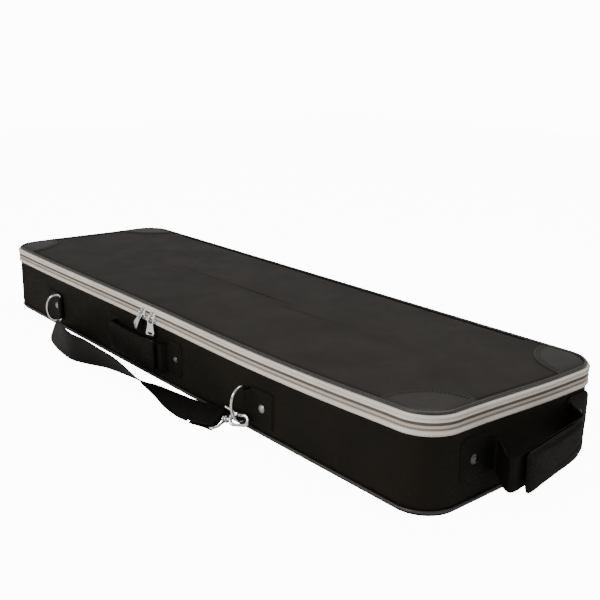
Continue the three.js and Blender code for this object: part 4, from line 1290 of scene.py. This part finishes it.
# ---- shoulder strap, hook and end ring -----------------------------------------------------------
STRAP_ROWS = [
    ((-243, -133, 6.5), (-244, -130.5, 11)),
    ((-229, -145, 2.5), (-226, -138, 21)),
    ((-209, -156, 1.2), (-200, -147, 27)),
    ((-181, -163, 1.2), (-172, -157, 34)),
    ((-151, -167.5, 1.2), (-146, -166, 36.5)),
    ((-122, -168.5, 1.2), (-119, -170, 36.5)),
    ((-97, -160.5, 1.2), (-90, -167, 35.5)),
    ((-71, -149.5, 1.2), (-60, -164, 32)),
    ((-42, -144, 1.2), (-26, -160, 27)),
    ((-8, -138, 1.2), (16, -156, 14)),
    ((18, -134, 3.5), (42, -153, 4.5)),
    ((46, -132, 5), (66, -157, 1.5)),
    ((80, -129.5, 6.5), (95, -160.5, 1.3)),
    ((105.5, -128.5, 9), (118.5, -161, 2.8)),
]
STRAP_END = ((139.3, -125, 12.8), (152.6, -155.8, 6.9))
HOOK_TURN = (Matrix.Rotation(math.radians(22), 4, "Z") @ Matrix.Rotation(math.radians(-8), 4, "Y")
             @ Matrix.Rotation(math.radians(-22), 4, "X"))
HOOK = Matrix.Translation((168, -131.5, 13.2)) @ HOOK_TURN


def add_strap():
    """The strap as two sheets that meet in its middle, each running to the ring at its own end."""
    steps = 9
    near, far = (smooth_path([row[i] for row in STRAP_ROWS], steps) for i in (0, 1))
    near[:, 2] = np.maximum(near[:, 2], 1.25)
    far[:, 2] = np.maximum(far[:, 2], 1.25)
    split = steps * 9
    halves = (
        ("shoulder_webbing", slice(None, split + 1), "tray_cover", ("left_ring", "case_base"),
         (-0.243, -0.133, 0.01), (-0.185, -0.160, 0.017)),
        ("shoulder_webbing_end", slice(split, None), "shoulder_webbing", ("case_base", "right_ring"),
         (0.020, -0.145, 0.008), (0.100, -0.145, 0.006)),
    )
    for name, part, under, bodies, start, end in halves:
        centres = (near[part] + far[part]) / 2
        webbing = make_mesh(name, *ribbon_mesh(centres, far[part] - near[part], 1.9, columns=13))
        finish_strap(webbing, "shoulder_strap", 36.0, centres, bodies, start, end,
                     held="laid", rests_on=[under])


def add_strap_fold():
    """The strap's last length doubled round the end ring's bar and sewn down on itself."""
    bar_near, bar_far = (np.array(p, float) for p in STRAP_END)
    start_near, start_far = (np.array(p, float) for p in ((106.7, -128.4, 9.2), (119.7, -160.9, 3)))
    across = bar_far - bar_near
    width = unit(across) * 34.0
    bar = (bar_near + bar_far) / 2
    root = (start_near + start_far) / 2
    along = unit(bar - root)
    normal = unit(np.cross(along, width))
    if normal[2] < 0:
        normal = -normal
    reach = np.linalg.norm(bar - root)
    upper = [(0.0, 1.35), (0.06, 1.5), (0.3, 1.55), (0.6, 1.6), (0.8, 2.0), (0.93, 2.6), (1.0, 2.8)]
    path = [root + along * reach * t + normal * h for t, h in upper]
    path += [bar + along * 2.8 * math.sin(t) + normal * 2.8 * math.cos(t) for t in np.linspace(0.5, 2.64, 7)]
    path += [root + along * reach * t - normal * h for t, h in reversed(upper)]
    rows = smooth_path(path, 4)
    fold = make_mesh("strap_end_webbing", *ribbon_mesh(rows, [width] * len(rows), 1.7, columns=13))
    finish_strap(fold, "strap_end_fold", 34.0, rows, ("right_ring", "hook"),
                 tuple(root * MM), tuple(bar * MM), held="folded", rests_on=["shoulder_webbing_end"])
    half = unit(width)
    paths = []
    for t in (0.22, 0.62):
        line = [root + along * reach * t + normal * 2.5 + half * s for s in np.linspace(-15, 15, 14)]
        paths.append(facing(line, normal))
    for s in (-15, 15):
        line = [root + along * reach * t + normal * 2.5 + half * s for t in np.linspace(0.2, 0.64, 8)]
        paths.append(facing(line, normal))
    stitches("strap_end_thread", paths, "right_ring", "webbing", radius=0.3)


def hook_place(a, b, h):
    return tuple(HOOK @ Vector((a, b, h)))


def add_hook():
    base = -12.0
    outer = rounded_rect(24.0, 13.0, 6.4, per_corner=14, per_side=6)
    slot = rounded_rect(17.6, 6.6, 3.2, per_corner=12, per_side=5)
    mouth_left, mouth_right = base + 4.0, base + 11.0
    outline = hook_outline(outer, slot, mouth_left, mouth_right)
    upright = Matrix.Rotation(math.radians(90), 4, "X")
    frame_parts = cut_plate("snap_hook_cast", [outline], 4.0, 1.25, HOOK @ upright)
    profile = [(1.7, 0.0), (1.9, 0.6), (1.9, 6.4), (3.0, 6.7), (3.4, 7.2), (3.3, 7.9), (2.4, 8.4), (0.1, 8.5)]
    shank = lathe_mesh(profile, lambda a, b, h: hook_place(base + 1.6 - h, a, b), sides=18)
    dress(merged("snap_hook_cast", frame_parts, shank), "hook", "chrome", CHROME, "snap_hook")

    bar = rounded_rect(5.0, 3.9, 1.2, per_corner=6, per_side=4)
    gate = cut_plate("gate_cast", [[(x + base + 7.55, y + 5.75) for x, y in bar]], 3.0, 0.6, HOOK @ upright)
    lever_path = [(base + 6.2, 0, 6.6), (base + 4.2, 0, 7.9), (base + 0.5, 0, 9.7), (base - 3.2, 0, 11.3),
                  (base - 5.4, 0, 12.3)]
    lever_rows = [hook_place(*p) for p in smooth_path(lever_path, 5)]
    radii = np.linspace(1.5, 1.0, len(lever_rows))
    radii[-3:] = (1.25, 1.35, 0.9)
    lever = tube_mesh(lever_rows, radii, sides=12)
    dress(merged("gate_lever", gate, lever), "gate", "chrome", CHROME, "hook_gate")

    swivel = HOOK @ Matrix.Rotation(math.radians(10 + 22), 4, "X")
    boss_x, bar_x, half = base - 3.0, base - 12.0, 18.0
    loop = [(boss_x, 5.2), (boss_x - 1.5, half - 4), (boss_x - 4.4, half - 0.4), (bar_x + 1.6, half),
            (bar_x, half - 2.4), (bar_x, half / 2), (bar_x, 0), (bar_x, -half / 2), (bar_x, -half + 2.4),
            (bar_x + 1.6, -half), (boss_x - 4.4, -half + 0.4), (boss_x - 1.5, -half + 4), (boss_x, -5.2)]
    rows = [tuple(swivel @ Vector(p)) for p in smooth_path([(a, b, 0) for a, b in loop], 5)]
    rows = [tuple(swivel @ Vector((boss_x, 2.4, 0)))] + rows + [tuple(swivel @ Vector((boss_x, -2.4, 0)))]
    wire = tube_mesh(rows, 1.35, sides=12)
    boss_profile = [(2.3, 0.0), (3.6, 0.15), (3.9, 0.6), (3.9, 2.6), (3.6, 3.05), (2.3, 3.2)]
    boss = lathe_mesh(boss_profile, lambda a, b, h: tuple(swivel @ Vector((base - 1.4 - h, a, b))), sides=20)
    dress(merged("end_ring_wire", wire, boss), "end_ring", "chrome", CHROME, "strap_end_ring")


def hook_outline(outer, slot, left, right):
    """The hook's bow: its outer outline broken by the mouth on the upper side, and back along the slot."""
    def upper(points, y_min):
        return [p for p in points if not (left < p[0] < right and p[1] > y_min)]

    def start_after(points, limit):
        kept = upper(points, limit)
        index = min(range(len(kept)), key=lambda i: (kept[i][0] - left) ** 2
                    if kept[i][1] > 0 and kept[i][0] <= left else 1e9)
        return kept[index:] + kept[:index]

    around_outer = start_after(outer, 0.5)
    around_slot = start_after(slot, 0.5)
    top_outer, top_slot = 6.5, 3.3
    path = [(left, top_outer)] + around_outer + [(right, top_outer), (right, top_slot)]
    path += list(reversed(around_slot)) + [(left, top_slot)]
    return path


# ---- inside --------------------------------------------------------------------------------------
def soft_copy(name, node, voxel_mm, body, passes=6):
    """A CAD foam part as soft lining: its edges rounded by an even remesh and a little smoothing."""
    mesh = frame["nodes"][node].data.copy()
    obj = bpy.data.objects.new(name, mesh)
    bpy.context.scene.collection.objects.link(obj)
    remesh = obj.modifiers.new("even", "REMESH")
    remesh.mode = "VOXEL"
    remesh.voxel_size = voxel_mm * MM
    relax = obj.modifiers.new("relax", "SMOOTH")
    relax.factor = 0.5
    relax.iterations = passes
    bake_modifiers(obj)
    shade(obj, 80)
    return dress(obj, body, "lining", LINING, node)


def add_inside():
    soft_copy("tray_plush", "base_lining", 3.0, "case_base")
    soft_copy("neck_rest_plush", "neck_rest", 2.0, "case_base", passes=4)
    low, high = node_mm("neck_strap")
    middle_x = (low[0] + high[0]) / 2
    rows = smooth_path([(middle_x, y, low[2] + 1.3 + 3.2 * math.cos(y / high[1] * math.pi / 2) ** 2)
                        for y in np.linspace(low[1], high[1], 9)], 5)
    across = [(high[0] - low[0], 0, 0)] * len(rows)
    strap = make_mesh("neck_tie_webbing", *ribbon_mesh(rows, across, 2.2, columns=9))
    dress(strap, "case_base", "webbing", WEBBING, "neck_strap")
    length_m(rows)

    for side in ("front", "back"):
        low, high = node_mm(f"bow_tip_loop_{side}")
        middle_x = (low[0] + high[0]) / 2
        middle_y = (low[1] + high[1]) / 2
        half = (high[1] - low[1]) / 2
        rows = []
        for t in np.linspace(-1, 1, 13):
            sag = (high[2] - low[2] - 2.4) * math.cos(t * math.pi / 2) ** 2
            rows.append((middle_x, middle_y + t * half, high[2] - 1.2 - sag))
        rows = smooth_path(rows, 4)
        across = [(high[0] - low[0], 0, 0)] * len(rows)
        loop = make_mesh(f"bow_loop_webbing_{side}", *ribbon_mesh(rows, across, 2.2, columns=9))
        dress(loop, "lid", "webbing", WEBBING, f"bow_tip_loop_{side}")
        length_m(rows)


def dress_cad():
    """Carried-over CAD nodes: hard parts whose shape is right, with soft edges and their own material."""
    looks = {"base_shell": (BOARD, 0.5), "lid_shell": (BOARD, 0.5), "bow_clip_front": (CLIP, 0.6),
             "bow_clip_back": (CLIP, 0.6)}
    for node, (material, edge) in looks.items():
        obj = frame["nodes"][node]
        obj.data.materials.clear()
        obj.data.materials.append(material)
        bevel = obj.modifiers.new("edges", "BEVEL")
        bevel.width = edge * MM
        bevel.segments = 2
        bevel.limit_method = "ANGLE"
        bevel.angle_limit = math.radians(40)


# ---- soft rim ------------------------------------------------------------------------------------
RIM_SAG = 2.2
RIM_NEAR_LIFT = 4.5
RIM_FAR_LIFT = 1.4
SOFT_RIM = ("tray_cover", "zip_tape", "zip_coil", "zip_inner_tape", "lid_panel", "lid_welt", "corner_vinyl",
            "corner_thread")


def rim_height(x, y):
    """How far the padded rim stands from straight: a slow sag along the front, and raised front corners."""
    front = min(max((60 - y) / 150, 0.0), 1.0)
    sag = math.exp(-((x - 150) / 130) ** 2)
    near = math.exp(-((x - END) / 95) ** 2)
    far = math.exp(-((x + END) / 80) ** 2)
    return front * front * (3 - 2 * front) * (RIM_NEAR_LIFT * near + RIM_FAR_LIFT * far - RIM_SAG * sag)


def settle_rim():
    """Bend everything near the zip by the rim's height, fading out down the case's sides."""
    for obj in bpy.data.objects:
        if not obj.name.startswith(SOFT_RIM):
            continue
        for vertex in obj.data.vertices:
            x, y, z = vertex.co / MM
            vertex.co.z += rim_height(x, y) * min(max((z - 25) / 35, 0.0), 1.0) * MM


# ---- studio --------------------------------------------------------------------------------------
FLOOR_HALF = 3.0
FLOOR_SEEN = 12.0
SKY_LIGHT = 0.44
SKY_SEEN = 13.0
LAMP_COLOUR = (1.0, 0.955, 0.89)


def add_studio():
    """A white sweep: the floor and the sky are bright only where the camera sees them directly."""
    size = FLOOR_HALF
    mesh = bpy.data.meshes.new("studio_floor")
    square = [(-size, -size, 0), (size, -size, 0), (size, size, 0), (-size, size, 0)]
    mesh.from_pydata(square, [], [(0, 1, 2, 3)])
    floor = bpy.data.objects.new("studio_floor", mesh)
    bpy.context.scene.collection.objects.link(floor)
    shader = Shader("studio_floor_paint")
    cloud = shader.noise(shader.coords("object"), 2.0, 2.0, 0.5)
    tone = shader.mix(cloud, (0.88, 0.88, 0.88, 1), (0.9, 0.9, 0.9, 1))
    mesh.materials.append(shader.finish(tone, shader.fit(cloud, 0, 1, 0.8, 0.9)))
    seen = shader.node("ShaderNodeLightPath").outputs["Is Camera Ray"]
    shader.bsdf.inputs["Emission Color"].default_value = (1, 1, 1, 1)
    shader.feed(shader.bsdf.inputs["Emission Strength"], shader.math("MULTIPLY", seen, FLOOR_SEEN))

    world = bpy.data.worlds.new("studio")
    bpy.context.scene.world = world
    world.use_nodes = True
    sky = world.node_tree.nodes["Background"]
    sky.inputs[0].default_value = (1.0, 1.0, 1.0, 1)
    seen = world.node_tree.nodes.new("ShaderNodeLightPath").outputs["Is Camera Ray"]
    glow = world.node_tree.nodes.new("ShaderNodeMapRange")
    glow.inputs["To Min"].default_value = SKY_LIGHT
    glow.inputs["To Max"].default_value = SKY_SEEN
    world.node_tree.links.new(seen, glow.inputs["Value"])
    world.node_tree.links.new(glow.outputs[0], sky.inputs[1])
    add_light("overhead", (0.1, 0.3, 1.5), (0.0, 0.0, 0.05), 1.6, 15)
    add_light("front", (0.1, -1.9, 0.9), (0.0, -0.05, 0.05), 1.0, 24)
    add_light("end_side", (1.9, -0.2, 0.8), (0.3, 0.0, 0.05), 0.8, 1.2)


def add_light(name, at, towards, size, power):
    data = bpy.data.lights.new(name, "AREA")
    data.shape = "RECTANGLE"
    data.size = size
    data.size_y = size * 0.7
    data.energy = power
    data.color = LAMP_COLOUR
    light = bpy.data.objects.new(name, data)
    direction = Vector(towards) - Vector(at)
    light.matrix_world = Matrix.Translation(at) @ direction.to_track_quat("-Z", "Y").to_matrix().to_4x4()
    bpy.context.scene.collection.objects.link(light)


add_tray()
add_band()
add_hinge_strip()
add_lid()
add_handles()
add_ring("left")
add_ring("right")
add_slider("left", -28.0, 34.0, -14.0, 5.0)
add_slider("right", -7.0, 2.0, 20.0, 2.0)
add_strap()
add_strap_fold()
add_hook()
add_inside()
dress_cad()
settle_rim()
add_studio()
